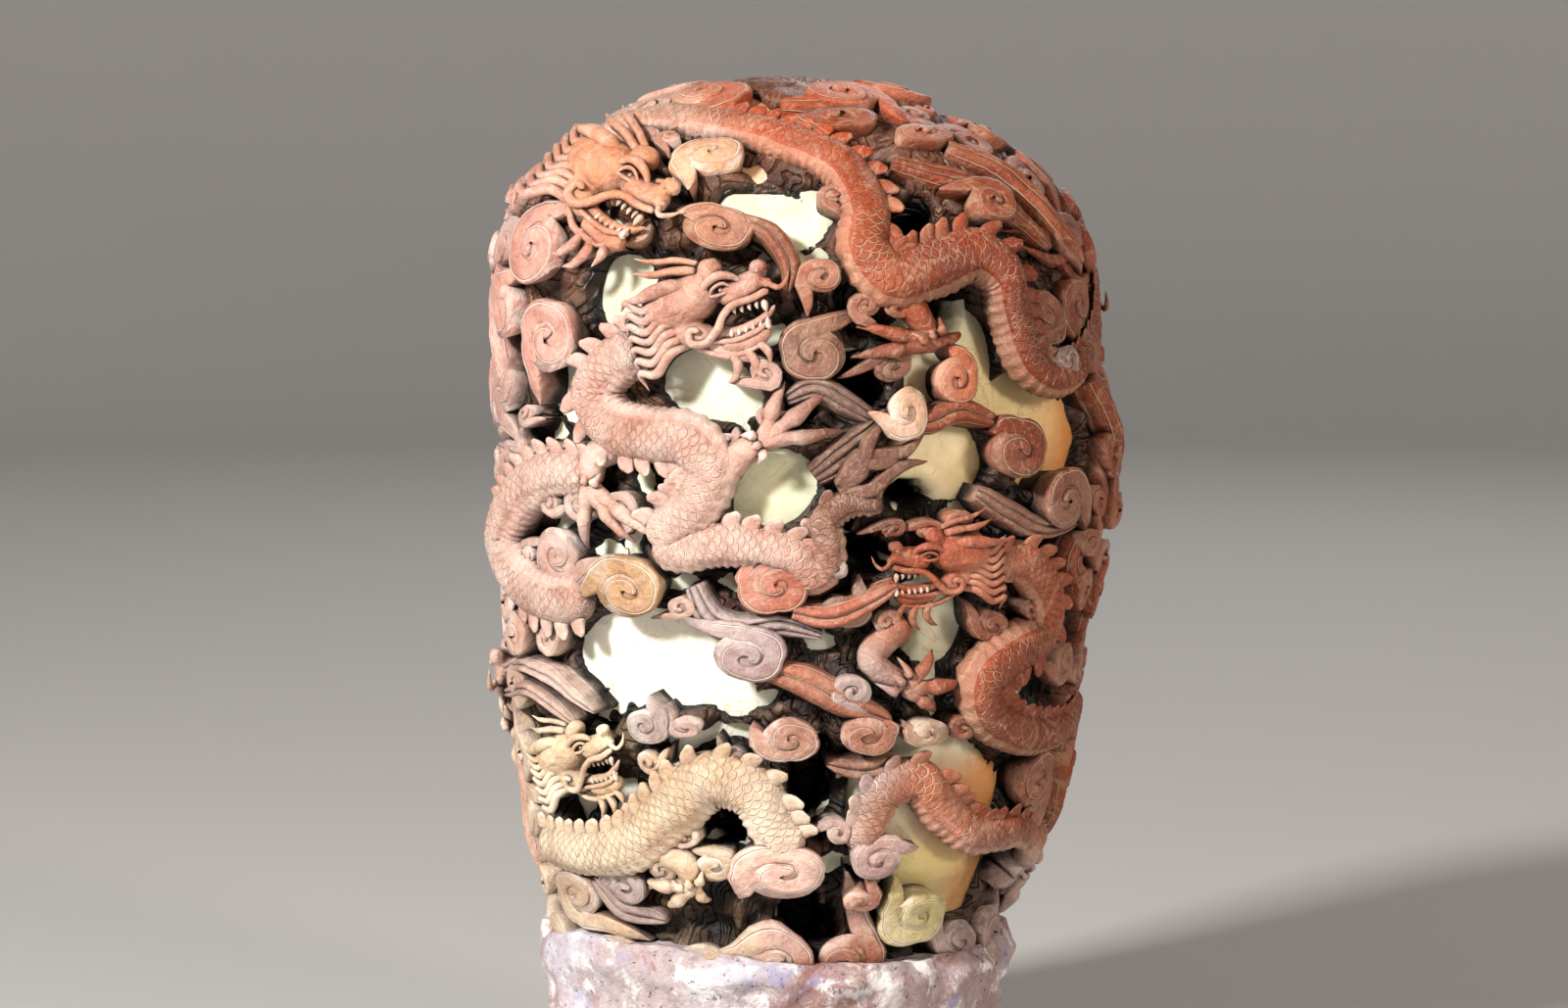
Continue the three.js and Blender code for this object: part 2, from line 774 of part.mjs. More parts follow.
// Merging the closest vertices can pinch a pocket off, so the body is taken until it is whole.
function finished(solid) {
  let whole = solid;
  let surface;
  do {
    surface = surfaceOf(whole);
    const { position } = surface.attributes;
    const points = Array.from({ length: position.count }, (_, i) =>
      new THREE.Vector3().fromBufferAttribute(position, i),
    );
    whole = solidOf(points, [...surface.index.array], 0);
  } while (whole.decompose().length > 1);
  return surface;
}

const geometry = finished(carving());
geometry.computeVertexNormals();

const stoneCarving = new THREE.Mesh(
  geometry,
  new THREE.MeshStandardMaterial({
    color: 0xb8836e,
    roughness: 0.45,
    metalness: 0,
  }),
);
stoneCarving.name = "soapstone_carving";

const carvingGroup = new THREE.Group();
carvingGroup.add(stoneCarving);

export default carvingGroup;
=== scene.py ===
"""Soapstone dragon carving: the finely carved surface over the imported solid.

Lengths are millimetres in the carving's own frame until a mesh is made, which is in metres.
"""
import logging
import math
from dataclasses import dataclass, field
from enum import Enum

import bpy
import numpy as np
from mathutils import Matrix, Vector


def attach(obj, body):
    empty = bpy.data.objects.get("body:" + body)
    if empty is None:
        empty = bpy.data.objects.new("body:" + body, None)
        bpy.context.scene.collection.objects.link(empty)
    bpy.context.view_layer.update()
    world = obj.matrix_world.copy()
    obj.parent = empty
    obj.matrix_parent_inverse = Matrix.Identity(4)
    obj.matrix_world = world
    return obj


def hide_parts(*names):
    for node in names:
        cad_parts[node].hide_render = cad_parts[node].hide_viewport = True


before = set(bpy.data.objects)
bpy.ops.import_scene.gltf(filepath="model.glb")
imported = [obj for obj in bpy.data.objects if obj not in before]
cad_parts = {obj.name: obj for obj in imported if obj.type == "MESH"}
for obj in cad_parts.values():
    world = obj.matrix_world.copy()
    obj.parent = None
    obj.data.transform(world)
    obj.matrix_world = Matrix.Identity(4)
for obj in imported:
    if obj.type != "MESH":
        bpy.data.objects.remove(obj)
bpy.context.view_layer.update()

MM = 0.001
NODE = "soapstone_carving"
LOG = logging.getLogger("carving")

Array = np.ndarray
Place = tuple[float, float]
Colour = tuple[float, float, float]
Tint = tuple[float, float, float, float]
Socket = bpy.types.NodeSocket
Sockets = dict[str, Socket]


class Slot(Enum):
    """Names of the material slots."""

    SKIN = "soapstone_skin"
    HEART = "soapstone_heart"
    FOOT = "soapstone_foot"


# Small mathematics

# Rows of scales stand this far apart, and an arc reaches this far, in shares of a scale's size.
SCALE_ROW = 0.35
SCALE_REACH = math.sqrt(0.25 + SCALE_ROW**2)
ROUTE_SAMPLES = 24


def unit(vectors: Array) -> Array:
    """Return the vectors at length one."""
    return vectors / np.maximum(np.linalg.norm(vectors, axis=-1, keepdims=True), 1e-9)


def smoothstep(low: float, high: float, value: Array) -> Array:
    """Return a smooth step from 0 at low to 1 at high."""
    t = np.clip((value - low) / (high - low), 0, 1)
    return t * t * (3 - 2 * t)


def cell_noise(points: Array, size: float, seed: int) -> Array:
    """Return smooth noise from -1 to 1.

    Args:
        points: places, one a row, in mm.
        size: the length of a swell in mm.
        seed: which of the noises to give.

    Returns:
        One value for each place.
    """
    p = points / size
    base = np.floor(p).astype(np.int64)
    t = p - base
    t = t * t * (3 - 2 * t)
    total = np.zeros(len(p))
    for corner in range(8):
        step = np.array([corner & 1, corner >> 1 & 1, corner >> 2 & 1])
        c = base + step
        mixed = c[:, 0] * 73856093 ^ c[:, 1] * 19349663 ^ c[:, 2] * 83492791 ^ seed * 2654435761
        mixed = (mixed ^ mixed >> 13) * 1274126177 & 0xFFFFFFFF
        value = (mixed ^ mixed >> 16) % 65536 / 32767.5 - 1
        total += value * np.prod(np.where(step == 1, t, 1 - t), axis=1)
    return total


def layered_noise(points: Array, size: float, seed: int, layers: int = 3) -> Array:
    """Return noise with finer layers, each half as strong as the last."""
    total = sum(cell_noise(points, size / 2**k, seed + k) / 2**k for k in range(layers))
    return total / 1.6


def smooth_route(points: Array, step: float) -> tuple[Array, Array]:
    """Run a smooth curve through points.

    Args:
        points: the places that it passes.
        step: the distance between samples.

    Returns:
        Even samples of the curve, and for each its place in the run of points.
    """
    ends = [2 * points[0] - points[1], *points, 2 * points[-1] - points[-2]]
    dense, places = [], []
    for i in range(1, len(ends) - 2):
        p0, p1, p2, p3 = ends[i - 1 : i + 3]
        t1 = np.linalg.norm(p1 - p0) ** 0.5
        t2 = t1 + np.linalg.norm(p2 - p1) ** 0.5
        t3 = t2 + np.linalg.norm(p3 - p2) ** 0.5
        share = np.linspace(0, 1, ROUTE_SAMPLES, endpoint=i == len(ends) - 3)
        t = (t1 + share * (t2 - t1))[:, None]
        a1 = p0 + (p1 - p0) * t / t1
        a2 = p1 + (p2 - p1) * (t - t1) / (t2 - t1)
        a3 = p2 + (p3 - p2) * (t - t2) / (t3 - t2)
        b1 = a1 + (a2 - a1) * t / t2
        b2 = a2 + (a3 - a2) * (t - t1) / (t3 - t1)
        dense.append(b1 + (b2 - b1) * (t - t1) / (t2 - t1))
        places.append(i - 1 + share)
    line, place = np.concatenate(dense), np.concatenate(places)
    run = np.concatenate([[0], np.cumsum(np.linalg.norm(np.diff(line, axis=0), axis=1))])
    count = max(int(round(run[-1] / step)), 3) + 1
    even = np.linspace(0, run[-1], count)
    samples = np.stack([np.interp(even, run, line[:, k]) for k in range(line.shape[1])], axis=1)
    return samples, np.interp(even, run, place)


def scale_relief(along: Array, around: Array, size: float) -> Array:
    """Return how proud overlapping scales stand, from 0 at a root to 1 at a free edge.

    Args:
        along: distances along the body.
        around: distances round it.
        size: the width of a scale.

    Returns:
        One value for each place.
    """
    y, x = along / size, around / size
    row = np.floor(y / SCALE_ROW)
    shift = 0.5 * np.mod(row - 1, 2)
    nearest = np.round(x - shift) + shift
    behind = y - (row - 1) * SCALE_ROW
    covered = np.hypot(x - nearest, behind) < SCALE_REACH
    return np.where(covered, behind, behind - SCALE_ROW) / SCALE_REACH


# The boulder


@dataclass(frozen=True)
class Boulder:
    """The stone's skin, and the eye that the front elevation is drawn from."""

    height: float = 376
    dome_start: float = 300
    dome_lean: float = -3
    depth_share: float = 0.82
    eye_distance: float = 2000
    eye_tilt: float = math.radians(6)
    eye_aim: Place = (-7, 220)
    stations: tuple[tuple[float, float, float], ...] = (
        (0, -9, 74),
        (40, -11, 81),
        (72, -10, 87),
        (110, -4, 101),
        (165, -4, 109),
        (232, 1, 117),
        (300, -4, 113),
    )

    def skin(self, heights: Array) -> tuple[Array, Array]:
        """Return the centre across and the half width of the skin at heights.

        Args:
            heights: heights above the underside.

        Returns:
            Two rows, one value in each for a height.
        """
        z0, c0, h0 = np.array(self.stations).T
        z = np.clip(heights, 0, self.dome_start)
        i = np.clip(np.searchsorted(z0, z, side="left") - 1, 0, len(z0) - 2)
        t = smoothstep(0, 1, (z - z0[i]) / (z0[i + 1] - z0[i]))
        centre = c0[i] + (c0[i + 1] - c0[i]) * t
        half = h0[i] + (h0[i + 1] - h0[i]) * t
        up = (heights - self.dome_start) / (self.height - self.dome_start)
        up = np.clip(up, 0, 0.9999)
        return centre + self.dome_lean * up, half * np.sqrt(1 - up**2)

    def outward(self, points: Array) -> Array:
        """Return the direction out of the stone at points at or under the skin.

        Args:
            points: places, one a row, in mm.

        Returns:
            One direction for each point.
        """
        x, y, z = points.T
        centre, half = self.skin(z)
        above_centre, above_half = self.skin(np.minimum(z + 0.5, self.height - 0.1))
        below_centre, below_half = self.skin(np.minimum(z - 0.5, self.height - 1.1))
        across = x - centre
        slope = (above_half**2 - below_half**2) / 2
        scale = half / np.maximum(np.hypot(across, y / self.depth_share), 1e-6)
        rise = -slope - across * scale * (above_centre - below_centre)
        return unit(np.stack([across * scale, y * scale / self.depth_share**2, rise], axis=1))

    def on_skin(self, bearings: Array, heights: Array, depths: Array | float = 0) -> Array:
        """Return places at bearings (degrees, 0 in front) and heights, some way under the skin.

        Args:
            bearings: bearings in degrees, 0 in front.
            heights: heights above the underside.
            depths: how far under the skin.

        Returns:
            The places, one a row.
        """
        bearings, heights = np.broadcast_arrays(np.asarray(bearings, float), heights)
        centre, half = self.skin(heights)
        turn = np.radians(bearings)
        across = centre + half * np.sin(turn)
        p = np.stack([across, -self.depth_share * half * np.cos(turn), heights + 0.0], axis=1)
        return p - self.outward(p) * np.reshape(depths, (-1, 1))

    def from_drawing(self, places: Array, depths: Array | float = 0) -> Array:
        """Return the places under the skin that the eye sees at places of the elevation.

        Args:
            places: places of the elevation, across and up.
            depths: how far under the skin.

        Returns:
            The places in the stone, one a row.
        """
        across, up = np.asarray(places, float).reshape(-1, 2).T
        depths = np.broadcast_to(np.asarray(depths, float), across.shape)
        sin, cos = math.sin(self.eye_tilt), math.cos(self.eye_tilt)
        aim_x, aim_z = self.eye_aim
        bearing, height = np.zeros_like(across), up.copy()
        p = self.on_skin(bearing, height, depths)
        for _ in range(24):
            grow = 1 + (p[:, 1] * cos - (p[:, 2] - aim_z) * sin) / self.eye_distance
            x = aim_x + (across - aim_x) * grow
            z = aim_z + ((up - aim_z) * grow - p[:, 1] * sin) / cos
            height = (height + np.minimum(z, self.height - depths - 0.5)) / 2
            centre, half = self.skin(height)
            share = np.clip((x - centre) / np.maximum(half - depths, 1), -0.999, 0.999)
            bearing = np.degrees(np.arcsin(share))
            p = self.on_skin(bearing, height, depths)
        return p

    def to_drawing(self, points: Array) -> Array:
        """Return where the eye sees points, as places of the elevation.

        Args:
            points: places, one a row, in mm.

        Returns:
            The places of the elevation, across and up.
        """
        sin, cos = math.sin(self.eye_tilt), math.cos(self.eye_tilt)
        aim_x, aim_z = self.eye_aim
        x, y, z = points.T
        grow = 1 + (y * cos - (z - aim_z) * sin) / self.eye_distance
        up = aim_z + ((z - aim_z) * cos + y * sin) / grow
        return np.stack([aim_x + (x - aim_x) / grow, up], axis=1)

    def project(self, points: Array, depths: Array | float = 0) -> Array:
        """Return the places at a depth under the skin that lie under or over points.

        Args:
            points: places, one a row, in mm.
            depths: how far under the skin.

        Returns:
            The places, one a row.
        """
        p = points.copy()
        dome = self.height - self.dome_start
        for _ in range(5):
            z = np.minimum(p[:, 2], self.dome_start)
            centre, half = self.skin(z)
            centre = centre + self.dome_lean * np.clip((p[:, 2] - z) / dome, 0, 1)
            flat = np.hypot((p[:, 0] - centre) / half, p[:, 1] / (self.depth_share * half))
            reach = np.hypot(flat, (p[:, 2] - z) / dome)
            safe = np.maximum(reach, 1e-6)
            gradient = np.stack(
                [
                    (p[:, 0] - centre) / half**2 / safe,
                    p[:, 1] / (self.depth_share * half) ** 2 / safe,
                    (p[:, 2] - z) / dome**2 / safe,
                ],
                axis=1,
            )
            size = np.maximum(np.linalg.norm(gradient, axis=1), 1e-6)
            p -= gradient * ((reach - 1) / size**2)[:, None]
        p[:, 2] = np.clip(p[:, 2], 0, self.height - 0.02)
        return p - self.outward(p) * np.reshape(depths, (-1, 1))


STONE = Boulder()


@dataclass
class Spot:
    """A place on the skin with its own directions across, up and out."""

    origin: Array
    across: Array
    up: Array

    @classmethod
    def over(cls, point: Array) -> "Spot":
        """Return the spot of the skin over a point.

        Args:
            point: a place near the skin.

        Returns:
            The spot.
        """
        origin = STONE.project(point[None])
        out = STONE.outward(origin)[0]
        across = np.cross([0, 0, 1], out)
        if np.linalg.norm(across) < 0.2:
            across = -np.cross(np.cross([1, 0, 0], out), out)
        across = unit(across)
        return cls(origin[0], across, np.cross(out, across))

    def wrap(self, x: Array, y: Array, depths: Array) -> Array:
        """Return places laid on the skin at distances across and up from the spot."""
        flat = self.origin + x[:, None] * self.across + y[:, None] * self.up
        return STONE.project(flat, depths)


# Meshes

MARKS = ("along", "around", "rim", "kind")
# Wear: the size of its swells and how far it moves a point, both in mm, and its seed.
WEAR = ((8, 0.42, 61), (2.4, 0.17, 67))


def new_object(name: str, data: bpy.types.ID) -> bpy.types.Object:
    """Return a new object that stands in the scene.

    Args:
        name: its name.
        data: its mesh, light or camera.

    Returns:
        The object.
    """
    thing = bpy.data.objects.new(name, data)
    bpy.context.scene.collection.objects.link(thing)
    return thing


class Kind(Enum):
    """What a part of the carved skin is, for its engraving."""

    PLAIN = 0.0
    SCALES = 1.0
    CLOUD = 2.0
    BELLY = 3.0
    GROUND = 4.0


class Stock:
    """Points, faces and marks that gather into one mesh."""

    def __init__(self) -> None:
        """Start with nothing."""
        self.points: list[Array] = []
        self.faces: list[Array] = []
        self.marks: dict[str, list[Array]] = {name: [] for name in MARKS}
        self.tints: list[Array] = []
        self.count = 0

    def add(self, points: Array, faces: Array, tint: Array | None = None, **marks: Array | float) -> None:
        """Add a form.

        Args:
            points: its points in mm.
            faces: quads as rows of four, where a triangle repeats its last corner.
            tint: colour that the form leans to, with its strength last.
            marks: values of its points for the materials.
        """
        self.points.append(points)
        self.faces.append(faces + self.count)
        self.count += len(points)
        for name in MARKS:
            value = np.broadcast_to(np.asarray(marks.get(name, 0.0), float), (len(points),))
            self.marks[name].append(value)
        self.tints.append(np.broadcast_to(np.zeros(4) if tint is None else tint, (len(points), 4)))

    def triangles(self) -> int:
        """Return how many triangles the faces make."""
        return sum(int((f[:, 2] != f[:, 3]).sum() + len(f)) for f in self.faces)

    def build(self, name: str, finish: "StoneFinish", slot: Slot) -> bpy.types.Object:
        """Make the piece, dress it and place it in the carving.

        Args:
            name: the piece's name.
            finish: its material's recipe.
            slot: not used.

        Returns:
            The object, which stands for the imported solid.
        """
        points = weathered(np.concatenate(self.points))
        faces = np.concatenate(self.faces)
        mesh = bpy.data.meshes.new(name)
        sides = np.where(faces[:, 2] == faces[:, 3], 3, 4)
        mesh.vertices.add(len(points))
        mesh.vertices.foreach_set("co", (points * MM).ravel())
        corners = np.concatenate([face[:n] for face, n in zip(faces, sides)])
        mesh.loops.add(len(corners))
        mesh.loops.foreach_set("vertex_index", corners)
        mesh.polygons.add(len(faces))
        mesh.polygons.foreach_set("loop_start", np.concatenate([[0], np.cumsum(sides)[:-1]]))
        mesh.polygons.foreach_set("use_smooth", np.ones(len(faces), bool))
        mesh.update(calc_edges=True)
        mesh.validate()
        for mark in MARKS:
            layer = mesh.attributes.new(mark, "FLOAT", "POINT")
            layer.data.foreach_set("value", np.concatenate(self.marks[mark]))
        sunk = mesh.attributes.new("sunk", "FLOAT", "POINT")
        sunk.data.foreach_set("value", depth_of(points))
        layer = mesh.attributes.new("patch_colour", "FLOAT_COLOR", "POINT")
        colours = finish.colour_patches.paint(points)
        tints = np.concatenate(self.tints)
        strength = tints[:, 3:]
        colours = colours * (1 - strength) + tints[:, :3] * strength
        layer.data.foreach_set("color", np.hstack([colours, np.ones((len(points), 1))]).ravel())
        piece = new_object(name, mesh)
        mesh.materials.append(finish.material())
        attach(piece, "root")
        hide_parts(NODE)
        LOG.info("%s: %d triangles", name, self.triangles())
        return piece


def weathered(points: Array) -> Array:
    """Return points a little out of true, as hand cutting and wear leave them.

    Args:
        points: places, one a row, in mm.

    Returns:
        The moved points.
    """
    moved = points
    for size, reach, seed in WEAR:
        sway = np.stack([cell_noise(points, size, seed + k) for k in range(3)], axis=1)
        moved = moved + reach * sway
    moved[:, 2] = np.where(points[:, 2] < 0.01, points[:, 2], np.maximum(moved[:, 2], 0))
    return moved


def depth_of(points: Array) -> Array:
    """Return how far points lie under the skin."""
    on_it = STONE.project(points)
    return np.einsum("ij,ij->i", on_it - points, STONE.outward(on_it))


def grid_faces(rows: int, columns: int, closed: bool) -> Array:
    """Return the quads of a grid of points, whose rows may close into rings.

    Args:
        rows: how many rows.
        columns: how many points in a row.
        closed: whether each row is a ring.

    Returns:
        The quads, one a row.
    """
    i, j = np.meshgrid(np.arange(rows - 1), np.arange(columns if closed else columns - 1), indexing="ij")
    nxt = (j + 1) % columns
    quads = [i * columns + j, i * columns + nxt, (i + 1) * columns + nxt, (i + 1) * columns + j]
    return np.stack(quads, axis=-1).reshape(-1, 4)


def capped_tube(rows: int, columns: int) -> Array:
    """Return the faces of rings joined in a run, with a centre point for each end added last.

    Args:
        rows: how many rings.
        columns: how many points in a ring.

    Returns:
        The faces, with a triangle's last corner repeated.
    """
    first, last = rows * columns, rows * columns + 1
    k = np.arange(columns)
    nxt = (k + 1) % columns
    start = np.stack([nxt, k, np.full(columns, first), np.full(columns, first)], axis=1)
    far = (rows - 1) * columns
    end = np.stack([far + k, far + nxt, np.full(columns, last), np.full(columns, last)], axis=1)
    return np.concatenate([grid_faces(rows, columns, True), start, end])


def with_ends(rings: Array) -> Array:
    """Return the points of rings, with the middles of the first and the last added."""
    ends = [rings[0].mean(axis=0), rings[-1].mean(axis=0)]
    return np.concatenate([rings.reshape(-1, 3), ends])


def frames(line: Array) -> tuple[Array, Array, Array]:
    """Return the heading, the left hand seen from outside, and the outward direction along a line.

    Args:
        line: the line's points in mm.

    Returns:
        The three directions, each with one row for a point.
    """
    heading = unit(np.gradient(line, axis=0))
    left = unit(np.cross(STONE.outward(line), heading))
    return heading, left, np.cross(heading, left)


def rounded_ends(line: Array, radius: Array) -> Array:
    """Return the shares that a form's radius draws in to along a line, so that its ends are round.

    Args:
        line: the line's points in mm.
        radius: the radius at each of them.

    Returns:
        One share for each point.
    """
    run = np.concatenate([[0], np.cumsum(np.linalg.norm(np.diff(line, axis=0), axis=1))])
    first = np.clip(1 - run / max(radius[0], 0.3), 0, 0.995)
    last = np.clip(1 - (run[-1] - run) / max(radius[-1], 0.3), 0, 0.995)
    return np.sqrt(1 - np.maximum(first, last) ** 2)


def add_limb(stock: Stock, points: Array, radii: list[float], sides: int = 10, step: float = 1.2,
             tint: Array | None = None, grooves: float = 0.0) -> None:
    """Add a round tapering limb through points.

    Args:
        stock: where it goes.
        points: the places that it passes, in mm.
        radii: its radius at each of them.
        sides: how many faces go round it.
        step: how far apart its rings are.
        tint: colour that it leans to.
        grooves: depth of the grooves that run along it, as a share of its radius.
    """
    line, place = smooth_route(np.asarray(points, float), step)
    radius = np.interp(place, np.arange(len(radii)), radii)
    radius = np.maximum(radius, 0.1) * rounded_ends(line, radius)
    _, left, out = frames(line)
    turn = 2 * np.pi * np.arange(sides) / sides
    reach = radius[:, None] * (1 - grooves * np.abs(np.cos(turn * 2.5))[None])
    rings = (
        line[:, None]
        + out[:, None] * (reach * np.cos(turn))[..., None]
        + left[:, None] * (reach * np.sin(turn))[..., None]
    )
    body = np.concatenate([rings.reshape(-1, 3), line[:1], line[-1:]])
    faces = capped_tube(len(line), sides)
    stock.add(body, faces[:, ::-1], tint)


# Colours


@dataclass(frozen=True)
class ColourPatch:
    """A patch of colour laid on the stone, standing for its own colour and, in some patches, for painted
    light: place across, height, reach, colour and strength.
    """

    across: float
    height: float
    reach: float
    colour: Colour
    strength: float = 0.85


def srgb(red: int, green: int, blue: int) -> Colour:
    """Return a display colour as linear values.

    Args:
        red: its red, 0 to 255.
        green: its green.
        blue: its blue.

    Returns:
        Linear red, green and blue.
    """
    def linear(value: int) -> float:
        """Return one display value as a linear one."""
        share = value / 255
        return share / 12.92 if share <= 0.04045 else ((share + 0.055) / 1.055) ** 2.4
    return linear(red), linear(green), linear(blue)


@dataclass(frozen=True)
class ColourSet:
    """The colours laid on a stone, with the patches from the first to the last; some patches stand for
    painted light.
    """

    base: Colour
    patches: tuple[ColourPatch, ...]
    seed: int = 3

    def paint(self, points: Array) -> Array:
        """Return the colour laid on the stone at points.

        Args:
            points: places, one a row, in mm.

        Returns:
            Linear colours, one a row.
        """
        colours = np.tile(np.array(self.base), (len(points), 1))
        wander = points[:, [0, 2]] + 9 * np.stack(
            [layered_noise(points, 38, self.seed), layered_noise(points, 38, self.seed + 9)], axis=1
        )
        for patch in self.patches:
            away = np.hypot(wander[:, 0] - patch.across, wander[:, 1] - patch.height) / patch.reach
            share = (patch.strength * (1 - smoothstep(0.45, 1.15, away)))[:, None]
            colours = colours * (1 - share) + np.array(patch.colour) * share
        return colours


PEACH = srgb(230, 196, 180)
PINK = srgb(218, 166, 150)
CREAM = srgb(245, 228, 192)
BROWN = srgb(130, 64, 42)
PURPLE = srgb(122, 98, 102)
ASH = srgb(176, 164, 166)
TAN = srgb(206, 172, 122)
LIME = srgb(214, 208, 128)

# The skin's colours are partly the stone's own and partly painted light: the patches on the left are
# painted paler, as if lit, and those on the right darker, as if in shade.
SKIN_COLOURS_AND_LIGHT = ColourSet(
    base=srgb(158, 86, 58),
    patches=(
        ColourPatch(-70, 210, 95, PEACH), ColourPatch(-85, 300, 60, PINK), ColourPatch(-60, 110, 75, CREAM),
        ColourPatch(-35, 290, 45, srgb(206, 160, 142)), ColourPatch(-40, 350, 50, srgb(214, 170, 146)),
        ColourPatch(-20, 240, 35, srgb(214, 172, 156)), ColourPatch(30, 330, 55, srgb(184, 100, 66)),
        ColourPatch(80, 310, 60, BROWN), ColourPatch(30, 245, 40, PURPLE), ColourPatch(85, 235, 45, srgb(150, 74, 44)),
        ColourPatch(60, 175, 50, srgb(158, 80, 56)), ColourPatch(95, 150, 40, srgb(138, 66, 36)),
        ColourPatch(10, 150, 40, ASH, 0.7), ColourPatch(-15, 180, 30, srgb(196, 132, 116)),
        ColourPatch(5, 95, 35, srgb(226, 186, 170)), ColourPatch(60, 80, 40, ASH, 0.7),
        ColourPatch(-60, 335, 30, srgb(222, 156, 112), 0.8), ColourPatch(0, 374, 45, srgb(190, 84, 38)),
        ColourPatch(62, 358, 50, srgb(176, 76, 34)), ColourPatch(84, 322, 34, srgb(150, 66, 32), 0.8),
        ColourPatch(58, 204, 26, srgb(190, 112, 92), 0.7), ColourPatch(48, 112, 22, srgb(196, 120, 96), 0.7),
    ),
)
# The heart's colours are partly its own and partly painted light: the near-white patches are lightened to
# stand in for light, the one at (50, 160) where the windows lie in shade.
HEART_COLOURS_AND_LIGHT = ColourSet(
    base=srgb(226, 226, 200),
    patches=(
        ColourPatch(-60, 200, 110, srgb(244, 246, 226)), ColourPatch(-70, 150, 60, srgb(248, 248, 236)),
        ColourPatch(88, 245, 42, srgb(226, 140, 44)), ColourPatch(56, 256, 34, srgb(250, 232, 178)),
        ColourPatch(68, 116, 40, srgb(210, 130, 44)), ColourPatch(40, 86, 28, srgb(226, 212, 146)),
        ColourPatch(66, 82, 20, srgb(180, 122, 62)), ColourPatch(50, 160, 30, srgb(228, 230, 208)),
        ColourPatch(-22, 368, 34, srgb(226, 132, 48)), ColourPatch(-15, 220, 40, srgb(240, 240, 206)),
    ),
    seed=21,
)
FOOT_STAINS = ColourSet(
    base=srgb(186, 180, 190),
    patches=(
        ColourPatch(-60, 40, 50, srgb(214, 210, 220)), ColourPatch(10, 30, 40, srgb(178, 142, 140)),
        ColourPatch(60, 40, 50, srgb(176, 158, 162)),
    ),
    seed=33,
)


# Material recipes


class Nodes:
    """Short ways to place and join shader nodes in one tree."""

    def __init__(self, tree: bpy.types.NodeTree) -> None:
        """Keep the tree."""
        self.tree = tree

    def place(self, kind: str, **settings: object) -> bpy.types.Node:
        """Add a node and set its properties.

        Args:
            kind: the node's type.
            settings: its properties by name.

        Returns:
            The node.
        """
        node = self.tree.nodes.new(kind)
        for key, value in settings.items():
            setattr(node, key, value)
        return node

    def join(self, source: object, target: Socket) -> None:
        """Link an output to an input, or set the input to a value.

        Args:
            source: an output or a value.
            target: the input.
        """
        if isinstance(source, Socket):
            self.tree.links.new(source, target)
        else:
            target.default_value = source

    def feed(self, name: str, source: object) -> None:
        """Give an output or a value to the material's shader."""
        self.join(source, self.tree.nodes["Principled BSDF"].inputs[name])

    def math(self, operation: str, *values: object, clamp: bool = False) -> Socket:
        """Return the result of a Math node.

        Args:
            operation: the node's operation.
            values: outputs or numbers for its inputs.
            clamp: whether the result is kept from 0 to 1.

        Returns:
            The node's output.
        """
        node = self.place("ShaderNodeMath", operation=operation, use_clamp=clamp)
        for socket, value in zip(node.inputs, values):
            self.join(value, socket)
        return node.outputs[0]

    def times(self, first: object, second: object) -> Socket:
        """Return a product."""
        return self.math("MULTIPLY", first, second)

    def plus(self, first: object, second: object) -> Socket:
        """Return a sum."""
        return self.math("ADD", first, second)

    def minus(self, first: object, second: object) -> Socket:
        """Return a difference."""
        return self.math("SUBTRACT", first, second)

    def over(self, first: object, second: object) -> Socket:
        """Return a quotient."""
        return self.math("DIVIDE", first, second)

    def apart(self, first: object, second: object) -> Socket:
        """Return how far apart two values are."""
        return self.math("ABSOLUTE", self.minus(first, second))

    def mix(self, share: object, first: object, second: object, blend: str = "MIX") -> Socket:
        """Return a mix of two colours.

        Args:
            share: how much of the second colour.
            first: an output or a linear colour.
            second: the same.
            blend: how the second goes over the first.

        Returns:
            The mixed colour.
        """
        node = self.place("ShaderNodeMix", data_type="RGBA", blend_type=blend)
        self.join(share, node.inputs[0])
        for socket, colour in ((node.inputs[6], first), (node.inputs[7], second)):
            self.join(colour if isinstance(colour, Socket) else (*colour, 1), socket)
        return node.outputs[2]

    def remap(self, value: object, low: float, high: float, to_low: float = 0,
              to_high: float = 1) -> Socket:
        """Return a value moved smoothly from one range to another.

        Args:
            value: what is moved.
            low: start of its range.
            high: end of its range.
            to_low: what the start becomes.
            to_high: what the end becomes.

        Returns:
            The moved value.
        """
        node = self.place("ShaderNodeMapRange", interpolation_type="SMOOTHSTEP")
        for socket, number in zip(node.inputs, (value, low, high, to_low, to_high)):
            self.join(number, socket)
        return node.outputs[0]

    def mark(self, name: str, colour: bool = False) -> Socket:
        """Return a mark of the mesh."""
        node = self.place("ShaderNodeAttribute", attribute_name=name, attribute_type="GEOMETRY")
        return node.outputs["Color" if colour else "Fac"]

    def noise(self, scale: float, detail: float = 4, rough: float = 0.55, twist: float = 0) -> Socket:
        """Return noise over the stone.

        Args:
            scale: swells to a metre.
            detail: how many finer layers.
            rough: how strong they are.
            twist: how far the swells are bent.

        Returns:
            Noise about 0.5.
        """
        where = self.place("ShaderNodeTexCoord").outputs["Object"]
        node = self.place("ShaderNodeTexNoise")
        self.join(where, node.inputs["Vector"])
        settings = {"Scale": scale, "Detail": detail, "Roughness": rough, "Distortion": twist}
        for key, value in settings.items():
            node.inputs[key].default_value = value
        return node.outputs[0]


